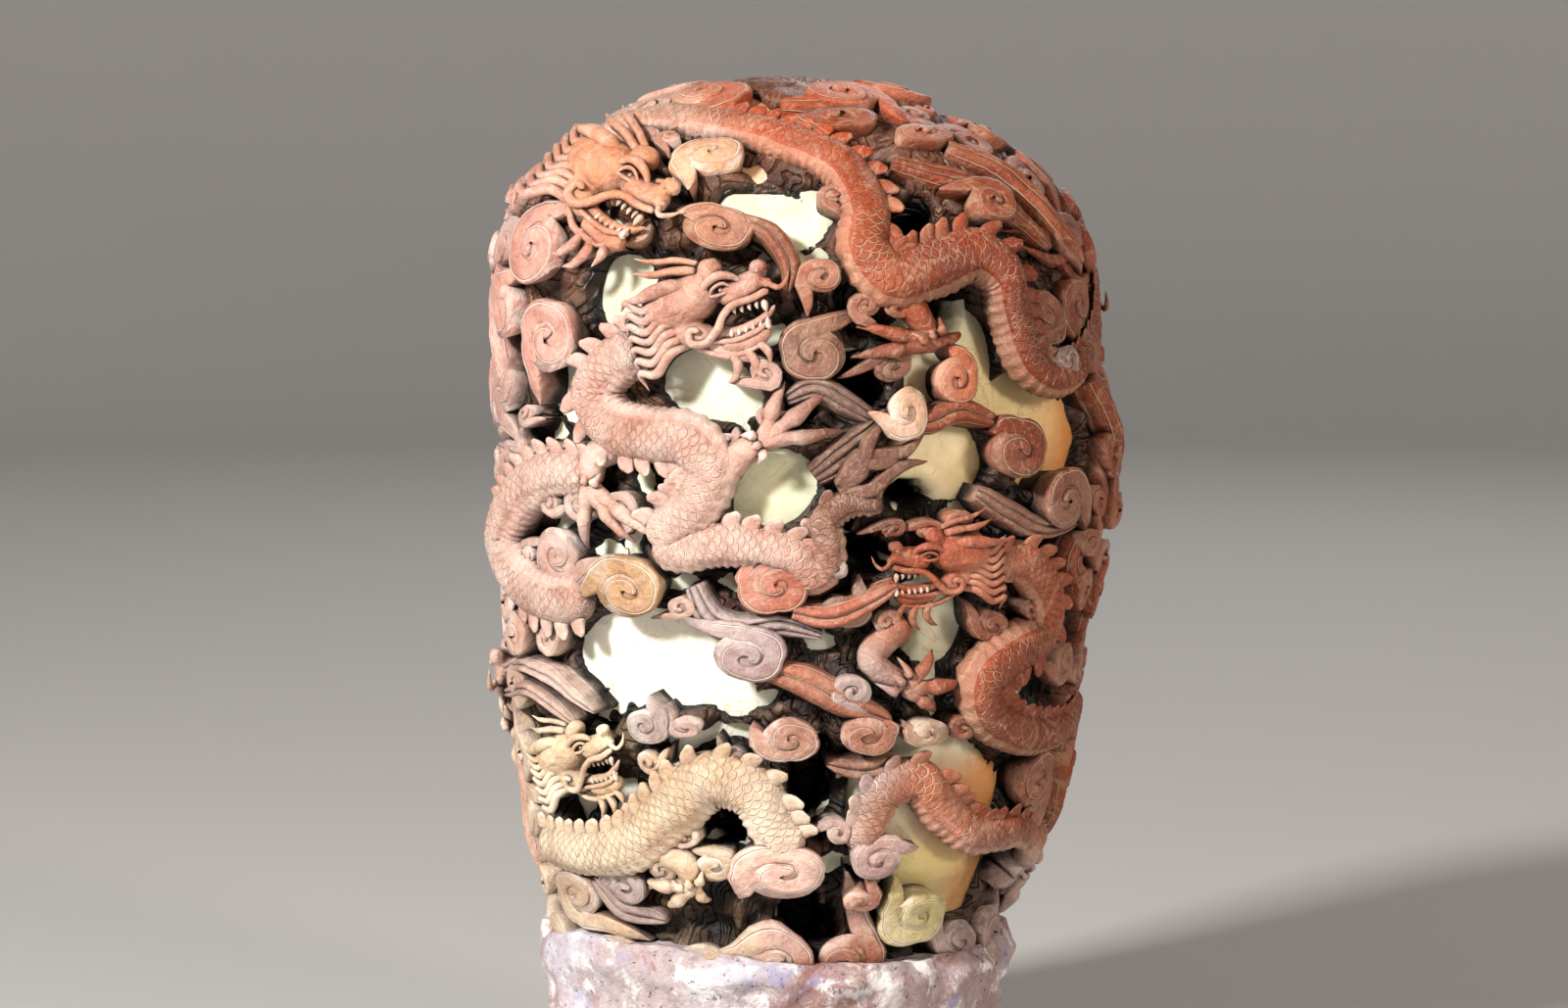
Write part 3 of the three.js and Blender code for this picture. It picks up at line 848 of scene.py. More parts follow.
def new_group(name: str, inputs: dict[str, str],
              outputs: dict[str, str]) -> tuple[bpy.types.NodeTree, Nodes, Sockets, Sockets]:
    """Start a shader node group with named sockets.

    Args:
        name: the group's name.
        inputs: kind of socket for each input name.
        outputs: kind of socket for each output name.

    Returns:
        The group, its node helper, and its inner input and output sockets by name.
    """
    tree = bpy.data.node_groups.new(name, "ShaderNodeTree")
    for key, kind in inputs.items():
        tree.interface.new_socket(name=key, in_out="INPUT", socket_type=kind)
    for key, kind in outputs.items():
        tree.interface.new_socket(name=key, in_out="OUTPUT", socket_type=kind)
    nodes = Nodes(tree)
    entry, leave = nodes.place("NodeGroupInput"), nodes.place("NodeGroupOutput")
    return tree, nodes, {k: entry.outputs[k] for k in inputs}, {k: leave.inputs[k] for k in outputs}


def once(maker: object) -> object:
    """Keep what a function makes, so that it makes it only once.

    Args:
        maker: the function.

    Returns:
        A function that gives the kept thing.
    """
    kept: list[object] = []

    def give() -> object:
        """Return the kept thing."""
        if not kept:
            kept.append(maker())
        return kept[0]

    return give


@once
def scales_group() -> bpy.types.NodeTree:
    """Make the engraved scales: arcs in rows, each row over the next.

    Returns:
        The group.
    """
    tree, n, entry, leave = new_group(
        "Engraved scales",
        {"Along": "NodeSocketFloat", "Around": "NodeSocketFloat", "Size": "NodeSocketFloat"},
        {"Line": "NodeSocketFloat", "Rise": "NodeSocketFloat"},
    )
    y = n.over(entry["Along"], entry["Size"])
    x = n.over(entry["Around"], entry["Size"])
    row = n.math("FLOOR", n.over(y, SCALE_ROW))
    before = n.minus(row, 1.0)
    shift = n.times(n.math("FLOORED_MODULO", before, 2.0), 0.5)
    centre = n.plus(n.math("ROUND", n.minus(x, shift)), shift)
    aside = n.minus(x, centre)
    behind = n.minus(y, n.times(before, SCALE_ROW))
    square = n.plus(n.times(aside, aside), n.times(behind, behind))
    away = n.minus(n.math("SQRT", square), SCALE_REACH)
    n.join(n.remap(n.math("ABSOLUTE", away), 0.025, 0.075, 1, 0), leave["Line"])
    covered = n.math("LESS_THAN", away, 0.0)
    root = n.minus(behind, n.times(n.minus(1.0, covered), SCALE_ROW))
    n.join(n.over(root, SCALE_REACH), leave["Rise"])
    return tree


@once
def dust_and_shade_group() -> bpy.types.NodeTree:
    """Make the mask that grows with depth under the skin, with patchy noise, for grey dust and for painted
    shade.

    Returns:
        The group.
    """
    tree, n, entry, leave = new_group(
        "Dust and painted shade in the depths",
        {"Sunk": "NodeSocketFloat", "Start": "NodeSocketFloat", "Full": "NodeSocketFloat"},
        {"Mask": "NodeSocketFloat"},
    )
    patchy = n.remap(n.noise(95, 5, 0.6), 0.3, 0.7, -3.5, 3.5)
    level = n.plus(entry["Sunk"], patchy)
    span = n.minus(entry["Full"], entry["Start"])
    share = n.math("DIVIDE", n.minus(level, entry["Start"]), span, clamp=True)
    n.join(share, leave["Mask"])
    return tree


@once
def mottle_group() -> bpy.types.NodeTree:
    """Make the clouding and veining of the stone's colour.

    Returns:
        The group.
    """
    tree, n, entry, leave = new_group(
        "Mottled stone",
        {"Colour": "NodeSocketColor", "Amount": "NodeSocketFloat"},
        {"Colour": "NodeSocketColor"},
    )
    broad = n.remap(n.noise(28, 4, 0.6, 0.6), 0.35, 0.65)
    fine = n.remap(n.noise(210, 5, 0.65), 0.35, 0.7)
    veins = n.remap(n.apart(n.noise(36, 3, 0.5, 1.4), 0.5), 0.0, 0.02, 1, 0)
    darker = n.mix(n.times(broad, entry["Amount"]), entry["Colour"], (0.5, 0.26, 0.16), "MULTIPLY")
    speckled = n.mix(n.times(fine, entry["Amount"]), darker, (0.55, 0.44, 0.42), "MULTIPLY")
    grains = n.remap(n.noise(900, 2, 0.5), 0.55, 0.7)
    strewn = n.times(grains, n.times(entry["Amount"], 0.25))
    speckled = n.mix(strewn, speckled, (0.86, 0.78, 0.74))
    threaded = n.times(veins, n.times(entry["Amount"], 0.35))
    veined = n.mix(threaded, speckled, (0.75, 0.66, 0.58))
    n.join(veined, leave["Colour"])
    return tree


@dataclass
class StoneFinish:
    """A finish of the stone: its colours and how its material is made."""

    name: str
    colour_patches: ColourSet
    made: bpy.types.Material | None = None

    def material(self) -> bpy.types.Material:
        """Return the material, made on first use.

        Returns:
            The material.
        """
        if self.made is None:
            self.made = bpy.data.materials.new(self.name)
            self.made.use_nodes = True
            self.dress(Nodes(self.made.node_tree))
        return self.made

    def dress(self, n: Nodes) -> None:
        """Join the nodes of the finish to its shader.

        Args:
            n: the helper for the material's nodes.
        """
        raise NotImplementedError

    def group(self, n: Nodes, tree: bpy.types.NodeTree, **values: object) -> bpy.types.Node:
        """Place a node group and give its inputs.

        Args:
            n: the helper for the material's nodes.
            tree: the group.
            values: outputs or values for its inputs, by name.

        Returns:
            The group's node.
        """
        node = n.place("ShaderNodeGroup", node_tree=tree)
        for key, value in values.items():
            n.join(value, node.inputs[key])
        return node

    def bump(self, n: Nodes, height: Socket, distance: float) -> None:
        """Feed a height to the shader's normal.

        Args:
            n: the helper for the material's nodes.
            height: the height, as a share of the distance.
            distance: the distance in metres.
        """
        node = n.place("ShaderNodeBump")
        node.inputs["Distance"].default_value = distance
        node.inputs["Strength"].default_value = 1.0
        n.join(height, node.inputs["Height"])
        n.feed("Normal", node.outputs[0])


class CarvedSkin(StoneFinish):
    """The red-brown skin: polished on top, engraved with pale lines, with grey dust and painted shade in
    its creases and depths, and painted shadow deepest.
    """

    pale = srgb(252, 242, 232)
    chalk = srgb(230, 214, 206)
    dust = srgb(150, 140, 138)
    shade = srgb(52, 36, 34)
    painted_shadow = srgb(16, 11, 10)

    def dress(self, n: Nodes) -> None:
        """Join the nodes of the skin to its shader.

        Args:
            n: the helper for the material's nodes.
        """
        colour = self.group(n, mottle_group(), Colour=n.mark("patch_colour", True), Amount=0.55).outputs[0]
        fair = n.remap(n.mark("patch_colour", True), 0.1, 0.42, 0.25, 1)
        kind = n.mark("kind")
        scaled = n.math("COMPARE", kind, Kind.SCALES.value, 0.3)
        clouded = n.math("COMPARE", kind, Kind.CLOUD.value, 0.3)
        grounded = n.math("COMPARE", kind, Kind.GROUND.value, 0.3)
        scales = self.group(n, scales_group(), Along=n.mark("along"), Around=n.mark("around"), Size=5.2)
        off = n.apart(n.mark("rim"), 0.66)
        border = n.times(n.remap(off, 0.03, 0.1, 1, 0), clouded)
        flow = n.math("FRACT", n.times(n.noise(26, 2, 0.5, 1.2), 16.0))
        waves = n.times(n.remap(n.apart(flow, 0.5), 0, 0.22, 1, 0), grounded)
        worn = n.remap(n.noise(75, 3, 0.6), 0.42, 0.68, 0.04, 0.6)
        line = n.math("MAXIMUM", n.times(scales.outputs["Line"], scaled), border)
        kept = n.math("MAXIMUM", worn, n.times(border, 0.6))
        chalky = n.times(n.remap(n.noise(34, 5, 0.62, 0.4), 0.46, 0.66, 0, 0.34), fair)
        under = n.times(n.math("COMPARE", kind, Kind.BELLY.value, 0.3), 0.2)
        colour = n.mix(n.plus(chalky, under), colour, self.chalk)
        drawn = n.times(n.times(line, kept), n.remap(fair, 0.25, 1, 0.6, 1))
        colour = n.mix(drawn, colour, self.pale)
        edge = n.place("ShaderNodeNewGeometry").outputs["Pointiness"]
        rubbed = n.times(n.remap(edge, 0.52, 0.62, 0, 0.5), n.remap(n.noise(130, 3), 0.4, 0.6))
        colour = n.mix(n.times(rubbed, fair), colour, self.pale)
        # Grey dust and painted shade: creases and depths turn to grey dust mixed with a darkened copy of
        # the colour, the darkened copy most where the colour is dark.
        crease = n.remap(edge, 0.48, 0.4, 0, 0.6)
        deep = self.group(n, dust_and_shade_group(), Sunk=n.mark("sunk"), Start=4.0, Full=14.0).outputs[0]
        deep = n.times(deep, n.remap(grounded, 0, 1, 0.75, 0.25))
        dust_and_shade = n.math("MAXIMUM", deep, n.times(crease, 0.7))
        dim = n.mix(1.0, colour, (0.62, 0.55, 0.53), "MULTIPLY")
        grey = n.mix(n.remap(fair, 0.25, 1, 0.9, 0.5), self.dust, dim)
        colour = n.mix(dust_and_shade, colour, grey)
        # Painted shade: ambient occlusion darkens tight crevices toward the shade colour.
        nook = n.place("ShaderNodeAmbientOcclusion", samples=6)
        nook.inputs["Distance"].default_value = 0.007
        painted_crevice_shade = n.remap(nook.outputs["AO"], 0.25, 0.8, 1, 0)
        colour = n.mix(n.times(painted_crevice_shade, 0.85), colour, self.shade)
        # Painted shadow: the deepest parts turn almost black.
        painted_depth_shadow = self.group(n, dust_and_shade_group(), Sunk=n.mark("sunk"), Start=8.0, Full=16.0).outputs[0]
        colour = n.mix(painted_depth_shadow, colour, self.painted_shadow)
        colour = n.mix(n.remap(fair, 0.25, 1, 0.85, 0), colour, (1.0, 0.84, 0.6), "MULTIPLY")
        n.feed("Base Color", colour)
        n.feed("Specular IOR Level", 0.36)
        rough = n.remap(dust_and_shade, 0, 1, 0.29, 0.78)
        n.feed("Roughness", n.plus(rough, n.remap(n.noise(150), 0.3, 0.7, -0.06, 0.12)))
        n.feed("Subsurface Weight", 0.04)
        n.feed("Subsurface Radius", (0.004, 0.002, 0.0015))
        grain = n.plus(n.noise(520, 5, 0.65), n.times(n.noise(140, 3, 0.6), 1.2))
        cut = n.plus(n.times(line, 0.8), n.times(waves, 1.6))
        rise = n.times(n.times(scales.outputs["Rise"], scaled), 0.7)
        self.bump(n, n.plus(n.minus(grain, cut), rise), 0.0009)


class PolishedHeart(StoneFinish):
    """The smooth pale heart, which lets some light in."""

    def dress(self, n: Nodes) -> None:
        """Join the nodes of the heart to its shader.

        Args:
            n: the helper for the material's nodes.
        """
        colour = self.group(n, mottle_group(), Colour=n.mark("patch_colour", True), Amount=0.16).outputs[0]
        cloudy = n.remap(n.noise(24, 4, 0.6, 0.8), 0.4, 0.65, 0, 0.35)
        colour = n.mix(cloudy, colour, (0.86, 0.82, 0.66), "MULTIPLY")
        cracks = n.remap(n.apart(n.noise(15, 4, 0.5, 2.2), 0.5), 0, 0.006, 0.4, 0)
        colour = n.mix(cracks, colour, (0.4, 0.24, 0.12))
        # Painted shadow: the deep hollows through the heart turn almost black.
        painted_depth_shadow = self.group(n, dust_and_shade_group(), Sunk=n.mark("sunk"), Start=21.0, Full=31.0).outputs[0]
        colour = n.mix(painted_depth_shadow, colour, CarvedSkin.painted_shadow)
        n.feed("Base Color", colour)
        n.feed("Roughness", n.remap(n.noise(120), 0.3, 0.7, 0.24, 0.36))
        n.feed("Subsurface Weight", 0.35)
        n.feed("Subsurface Radius", (0.012, 0.008, 0.004))
        n.feed("Subsurface Scale", 1.0)
        self.bump(n, n.noise(45, 2, 0.4), 0.0004)


class RoughFoot(StoneFinish):
    """The uncut foot: chalky, pitted, with rust and violet spots."""

    def dress(self, n: Nodes) -> None:
        """Join the nodes of the foot to its shader.

        Args:
            n: the helper for the material's nodes.
        """
        colour = self.group(n, mottle_group(), Colour=n.mark("patch_colour", True), Amount=0.5).outputs[0]
        chalk = n.remap(n.noise(70, 6, 0.7, 0.4), 0.5, 0.62)
        colour = n.mix(n.times(chalk, 0.8), colour, srgb(240, 238, 238))
        rust = n.remap(n.noise(46, 5, 0.65, 0.8), 0.56, 0.66, 0, 0.75)
        colour = n.mix(rust, colour, srgb(140, 82, 74))
        violet = n.remap(n.noise(58, 4, 0.6, 0.3), 0.6, 0.68, 0, 0.6)
        colour = n.mix(violet, colour, srgb(150, 150, 188))
        pits = n.remap(n.noise(330, 3, 0.7), 0.62, 0.72)
        colour = n.mix(n.times(pits, 0.7), colour, srgb(62, 46, 46))
        n.feed("Base Color", colour)
        n.feed("Roughness", n.remap(chalk, 0, 1, 0.72, 0.92))
        height = n.minus(n.noise(160, 6, 0.7), n.times(pits, 0.6))
        self.bump(n, height, 0.0016)


# Dragons


@dataclass(frozen=True)
class Head:
    """A head from the back of its skull to its nose; the crown is on one hand of its heading."""

    skull: Place
    nose: Place
    crown: int


@dataclass(frozen=True)
class Leg:
    """A leg's joints from the shoulder to the palm, and the tips of its claws."""

    joints: tuple[Place, ...]
    claws: tuple[Place, ...]


@dataclass(frozen=True)
class Tuft:
    """The end of a tail and the tips of its strands."""

    root: Place
    tips: tuple[Place, ...]


@dataclass(frozen=True)
class Dragon:
    """A dragon of the front as places of the elevation, from its neck to its tail."""

    name: str
    route: tuple[Place, ...]
    girth: tuple[float, float, float]
    ridge: int
    head: Head | None = None
    legs: tuple[Leg, ...] = ()
    tuft: Tuft | None = None
    tint: Tint = (0, 0, 0, 0)


DRAGONS = (
    Dragon(
        "crown",
        ((-67, 359), (-49, 364), (-28, 362), (-5, 355), (13, 345), (21, 328), (21, 313), (31, 301),
         (46, 306), (59, 311), (69, 303), (73, 286), (79, 271), (90, 266), (100, 277),
          (103, 293), (101, 308)),
        (6, 10.6, 4.2), 1, Head((-73, 346), (-50, 325), 1),
        (Leg(((30, 300), (40, 288), (45, 278)), ((23, 283), (21, 274), (54, 281))),),
        Tuft((102, 303), ((82, 329), (92, 326), (76, 315), (70, 321))),
    ),
    Dragon(
        "main",
        ((-55, 277), (-67, 270), (-73, 260), (-67, 249), (-53, 245), (-40, 243), (-32, 233),
         (-36, 221), (-46, 211), (-52, 204)),
        (9, 10, 8.8), -1, Head((-48, 289), (-11, 297), 1),
        (
            Leg(((-63, 243), (-74, 236), (-75, 226)), ((-76, 207), (-62, 209), (-53, 210))),
            Leg(((-30, 229), (-22, 238), (-14, 243)), ((-8, 261), (5, 258), (10, 246))),
        ),
    ),
    Dragon(
        "tail",
        ((-53, 204), (-42, 203), (-28, 205), (-12, 203), (-2, 199), (4, 193), (9, 202), (8, 213),
         (16, 220), (28, 219)),
        (8.2, 7.6, 4.2), 1, None, (),
        Tuft((12, 226), ((30, 252), (44, 249), (44, 236), (37, 243))),
    ),
    Dragon(
        "left",
        ((-73, 230), (-88, 231), (-99, 223), (-104, 208), (-99, 194), (-87, 186), (-75, 186)),
        (7.5, 10.8, 8.5), -1,
    ),
    Dragon(
        "right",
        ((63, 194), (75, 198), (84, 187), (83, 174), (71, 166), (62, 157), (63, 145), (75, 137),
         (90, 139), (98, 151)),
        (7, 9.8, 6), 1, Head((59, 201), (29, 197), -1),
        (Leg(((36, 178), (24, 164), (36, 154)), ((44, 165), (52, 156), (45, 146))),),
    ),
    Dragon(
        "yellow",
        ((-91, 98), (-74, 94), (-58, 98), (-45, 110), (-32, 120), (-18, 116), (-10, 103), (-3, 91)),
        (8, 10.8, 8), 1, Head((-87, 128), (-65, 132), 1),
        (Leg(((-52, 97), (-41, 89), (-38, 82)), ((-53, 83), (-46, 75), (-33, 76))),),
        None, (*CREAM, 0.6),
    ),
    Dragon(
        "arch",
        ((17, 95), (23, 105), (28, 116), (39, 120), (48, 110), (60, 101), (74, 103), (83, 94)),
        (6.5, 8.4, 5.2), 1, None,
        (Leg(((80, 99), (79, 93), (78, 87)), ((74, 79), (80, 75), (86, 82))),),
    ),
)


@dataclass
class DragonCarver:
    """Sizes that all the dragons share, and how they are cut."""

    depth: float = 8
    head_depth: float = 7
    claw_depth: float = 9
    flatness: float = 0.88
    ring_step: float = 0.75
    sides: int = 46
    belly_from: float = math.radians(-46)
    scale_size: float = 5.2
    scale_rise: float = 0.45
    plate: float = 3.6
    spine_pitch: float = 6.4
    spine_height: float = 5.0
    leg_radii: tuple[float, ...] = (6.6, 5.0, 4.2)
    leg_depths: tuple[float, ...] = (12.0, 7.5, 7.0)
    # A claw from the palm: share of its length, how proud it stands and its radius.
    claw: tuple[tuple[float, float, float], ...] = (
        (-0.1, 0, 3.8), (0.22, 2.2, 3.2), (0.42, 2.6, 2.4), (0.58, 3.4, 3.0), (0.76, 3.2, 2.3),
        (0.96, 2.2, 1.7), (1.2, -0.8, 0.2),
    )

    def body(self, stock: Stock, route: Array, girth: tuple[float, float, float], ridge: int,
             tint: Array | None, coarse: float = 1.0) -> None:
        """Add a body with its scales, belly plates and comb.

        Args:
            stock: where it goes.
            route: places along its middle, in mm.
            girth: its radius at the neck, midway and at the tail.
            ridge: 1 where the comb is on the left hand of the heading, -1 on the right.
            tint: colour that it leans to.
            coarse: how much wider the mesh is than the finest.
        """
        line, place = smooth_route(route, self.ring_step * coarse)
        share = place / (len(route) - 1)
        radius = np.interp(share, [0, 0.5, 1], girth)
        radius = np.convolve(np.pad(radius, 8, "edge"), np.ones(17) / 17, "valid")
        heading, left, out = frames(line)
        sides = int(self.sides / coarse)
        even = np.linspace(-1, 1, sides, endpoint=False)
        turn = np.pi * (even + 0.16 * np.sin(2 * np.pi * even))
        run = np.arange(len(line)) * self.ring_step * coarse
        along = run[:, None] + 0 * turn
        around = radius[:, None] * turn[None]
        back = smoothstep(self.belly_from, self.belly_from + 0.12, turn)[None]
        belly = (1 - back) * smoothstep(-2.6, -2.3, turn)[None]
        scales = (scale_relief(along, around, self.scale_size) - 0.5) * self.scale_rise
        plates = (np.abs(np.mod(along / self.plate, 1) - 0.5) * -2 + 0.35) * 0.9
        groove = -0.8 * np.exp(-(((turn - self.belly_from) / 0.07) ** 2))[None]
        reach = radius[:, None] + scales * back + plates * belly + groove
        reach = reach * rounded_ends(line, radius)[:, None]
        rings = (
            line[:, None]
            + out[:, None] * (reach * np.cos(turn) * self.flatness)[..., None]
            + (left * ridge)[:, None] * (reach * np.sin(turn))[..., None]
        )
        points = np.concatenate([rings.reshape(-1, 3), line[:1], line[-1:]])
        faces = capped_tube(len(line), sides)
        kind = np.where(back > 0.5, Kind.SCALES.value, Kind.BELLY.value) + 0 * along
        marks = {"along": along, "around": around, "kind": kind}
        padded = {name: np.concatenate([values.ravel(), [0, 0]]) for name, values in marks.items()}
        stock.add(points, faces if ridge < 0 else faces[:, ::-1], tint, **padded)
        self.comb(stock, line, radius, (heading, left * ridge, out), tint, coarse)

    def comb(self, stock: Stock, line: Array, radius: Array, ways: tuple[Array, Array, Array],
             tint: Array | None, coarse: float) -> None:
        """Add the row of cut teeth along the back.

        Args:
            stock: where it goes.
            line: the middle of the body, in mm.
            radius: the body's radius along it.
            ways: its heading, the side of the comb and outward, along the line.
            tint: colour that it leans to.
            coarse: how much wider the mesh is than the finest.
        """
        heading, side, out = ways
        step = self.ring_step * coarse
        pitch = self.spine_pitch * (1 if coarse < 1.5 else 1.3)
        count = int(len(line) * step / pitch)
        rows, columns = 7, 10
        up = np.linspace(0, 1, rows)
        turn = 2 * np.pi * np.arange(columns) / columns
        for k in range(count):
            i = min(int((k + 0.5) * pitch / step), len(line) - 1)
            size = min(1.0, radius[i] / 9) * (1 if coarse < 1.5 else 1.2)
            height = self.spine_height * size
            width = pitch * np.interp(up, [0, 0.6, 0.88, 1], [0.56, 0.5, 0.38, 0.16])
            thick = 1.9 * size * (1 - 0.7 * up)
            root = line[i] + side[i] * (radius[i] - 1.6) + out[i] * (0.9 + 0.12 * radius[i])
            spread = unit(side[i] * 0.93 + out[i] * 0.3)
            lift = unit(np.cross(spread, heading[i]))
            middle = root + spread * (up * (height + 1.2))[:, None]
            middle = middle + heading[i] * (2.4 * size * up**2)[:, None]
            rings = (
                middle[:, None]
                + heading[i] * (width[:, None] * np.cos(turn))[..., None]
                + lift * (thick[:, None] * np.sin(turn))[..., None]
            )
            points = np.concatenate([rings.reshape(-1, 3), middle[:1], middle[-1:] + spread * 0.5])
            stock.add(points, capped_tube(rows, columns), tint)

    def leg(self, stock: Stock, joints: Array, claws: Array, tint: Array | None) -> None:
        """Add a leg with its spread claws, each with knuckles and a nail.

        Args:
            stock: where it goes.
            joints: shoulder, elbow and palm, in mm.
            claws: the tips of its claws.
            tint: colour that it leans to.
        """
        add_limb(stock, joints, list(self.leg_radii), sides=20, step=1.0, tint=tint)
        palm = joints[-1]
        out = STONE.outward(palm[None])[0]
        for tip in claws:
            way = tip - palm
            slim = min(1.0, 0.3 + float(np.linalg.norm(way)) / 24)
            points = [palm + way * share + out * proud for share, proud, _ in self.claw]
            radii = [slim * radius for _, _, radius in self.claw]
            add_limb(stock, np.array(points), radii, sides=14, step=0.8, tint=tint)
        wrist = joints[-2] + (palm - joints[-2]) * 0.75
        aside = unit(np.cross(out, palm - joints[-2]))
        for k in (-1, 0, 1):
            curl = [wrist + aside * k * 3 + out * 2, wrist + aside * k * 4 + out * 4.5,
                    wrist + aside * k * 6 + out * 3 - (palm - wrist) * 1.6]
            add_limb(stock, np.array(curl), [1.6, 1.9, 0.2], sides=8, step=0.9, tint=tint)

    def tuft(self, stock: Stock, root: Array, tips: Array, tint: Array | None) -> None:
        """Add the long strands at the end of a tail.

        Args:
            stock: where it goes.
            root: the end of the tail, in mm.
            tips: the tips of the strands.
            tint: colour that it leans to.
        """
        for k, tip in enumerate(tips):
            way = tip - root
            out = STONE.outward((root + way / 2)[None])[0]
            bend = np.cross(out, way) * (0.13 if k % 2 else -0.1)
            points = [root, root + way * 0.3 + bend + out * 2.5,
                      root + way * 0.66 - bend * 0.4 + out * 3.4, tip]
            add_limb(stock, np.array(points), [2.6, 3.6, 3.0, 0.2], sides=18, step=1.0, tint=tint,
                     grooves=0.22)

    def carve(self, dragon: Dragon, stock: Stock, heads: Stock) -> None:
        """Add one dragon of the front.

        Args:
            dragon: the dragon.
            stock: where its body goes.
            heads: where its head, legs and tail go.
        """
        LOG.info("cutting the %s dragon", dragon.name)
        tint = np.array(dragon.tint)
        self.body(stock, STONE.from_drawing(dragon.route, self.depth), dragon.girth, dragon.ridge, tint)
        for leg in dragon.legs:
            joints = STONE.from_drawing(leg.joints, np.array(self.leg_depths))
            self.leg(heads, joints, STONE.from_drawing(leg.claws, self.claw_depth), tint)
        if dragon.tuft:
            root = STONE.from_drawing([dragon.tuft.root], self.depth)[0]
            self.tuft(heads, root, STONE.from_drawing(dragon.tuft.tips, self.depth), tint)
        if dragon.head:
            ends = STONE.from_drawing([dragon.head.skull, dragon.head.nose], self.head_depth)
            HeadCarver(ends[0], ends[1], dragon.head.crown).carve(heads, tint)


@dataclass
class HeadCarver:
    """A dragon's head in its own frame: forward, up to the crown and out, as shares of its length."""

    skull: Array
    nose: Array
    crown: int
    voxel: float = 0.7

    # Forms as runs of along, up, out and radius, in hundredths of the head's length.
    mass = (
        ((-24, -4, -4, 20), (6, 3, 0, 25), (30, 8, 2, 23), (52, 10, 2, 17)),
        ((40, 20, 6, 13), (50, 27, 9, 15), (56, 22, 8, 12)),
        ((50, 6, 4, 16), (68, 5, 5, 13), (84, 10, 5, 12), (95, 15, 4, 10)),
        ((84, 20, 10, 7.5), (93, 24, 10, 7), (100, 20, 7, 5.5)),
        ((94, 8, 10, 6.5), (102, 4, 6, 5)),
        ((0, -16, 0, 17), (20, -26, 2, 14), (42, -38, 2, 10)),
        ((42, -38, 2, 10), (62, -42, 3, 8), (80, -40, 3, 8), (93, -33, 4, 6)),
    )
    strokes = (
        # upper lip and its roll at the cheek
        ((98, 0, 10, 3), (82, -5, 14, 3.6), (66, -6, 16, 3.6), (54, -14, 17, 3.6),
         (44, -26, 16, 4), (30, -36, 15, 4.2), (18, -32, 16, 4), (20, -22, 17, 3.6),
         (29, -23, 17, 3)),
        # brow
        ((74, 13, 13, 2), (66, 20, 17, 3.6), (54, 22, 20, 4.2), (42, 16, 19, 3.4),
         (34, 6, 16, 2)),
        # lids
        ((66, 10, 15, 1.4), (58, 15, 19, 1.8), (49, 12, 19, 1.8), (44, 6, 17, 1.2)),
        ((66, 9, 15, 1.4), (58, 5.5, 18, 1.7), (50, 5, 18, 1.7), (44, 6, 17, 1.2)),
        # tongue
        ((28, -26, 5, 5), (52, -30, 6, 5.2), (76, -29, 7, 4.5), (92, -22, 7, 3.4),
         (100, -14, 6, 1)),
        # lower lip
        ((36, -36, 10, 2.6), (58, -37.5, 11, 2.8), (80, -35, 11, 2.8), (95, -27, 9, 2)),
        # jaw frill
        ((20, -38, 8, 3), (40, -49, 8, 3.2), (62, -51, 7, 3), (84, -47, 6, 1.8)),
        # beard
        ((50, -46, 5, 4), (56, -60, 7, 5), (50, -72, 6, 3.4), (42, -76, 5, 0.6)),
        ((64, -47, 5, 4), (72, -60, 7, 4.8), (70, -73, 6, 3), (62, -80, 5, 0.6)),
        ((78, -44, 5, 3.4), (86, -54, 6, 4), (86, -66, 5, 0.6)),
        # whisker
        ((98, 6, 12, 2.6), (108, 0, 12, 2.4), (116, 6, 10, 1.8), (120, 16, 8, 0.4)),
        # horns
        ((30, 16, 12, 5), (12, 20, 18, 7.5), (-6, 19, 19, 7), (-22, 16, 16, 4.5),
         (-36, 16, 12, 0.6)),
        ((36, 30, 10, 4.5), (16, 34, 13, 4.5), (-4, 35, 13, 3.6), (-24, 40, 8, 0.4)),
        ((38, 36, 6, 3.6), (20, 43, 9, 3.6), (0, 46, 9, 3), (-20, 53, 5, 0.4)),
        # ear
        ((28, 2, 14, 3), (14, 0, 20, 6), (0, -4, 19, 4), (-12, -6, 15, 0.4)),
    )
    mane_count = 7
    tooth_count = 6

    def __post_init__(self) -> None:
        """Work out the head's frame."""
        self.length = float(np.linalg.norm(self.nose - self.skull))
        self.forward = unit(self.nose - self.skull)
        left = unit(np.cross(STONE.outward(self.skull[None])[0], self.forward))
        self.out = np.cross(self.forward, left)
        self.up = left * self.crown

    def at(self, form: Array | tuple[tuple[float, ...], ...]) -> tuple[Array, list[float]]:
        """Return the places of a form in mm and its radii.

        Args:
            form: along, up, out and radius, as shares of the head's length.

        Returns:
            The places and the radii, in mm.
        """
        along, up, proud, radius = np.array(form).T
        places = (
            self.skull
            + along[:, None] * self.length * self.forward
            + up[:, None] * self.length * self.up
            + proud[:, None] * self.length * self.out
        )
        return places, [float(r * self.length) for r in radius]

    def carve(self, stock: Stock, tint: Array | None) -> None:
        """Add the head.

        Args:
            stock: where it goes.
            tint: colour that it leans to.
        """
        rough = Stock()
        for form in self.mass:
            places, radii = self.at(np.array(form) / 100)
            add_limb(rough, places, radii, sides=24, step=1.2)
        points, faces = blended(rough, self.voxel)
        stock.add(points, faces, tint)
        for form in self.strokes:
            places, radii = self.at(np.array(form) / 100)
            add_limb(stock, places, radii, sides=12, step=0.8, tint=tint)
        self.eye(stock, tint)
        self.teeth(stock)
        self.mane(stock, tint)

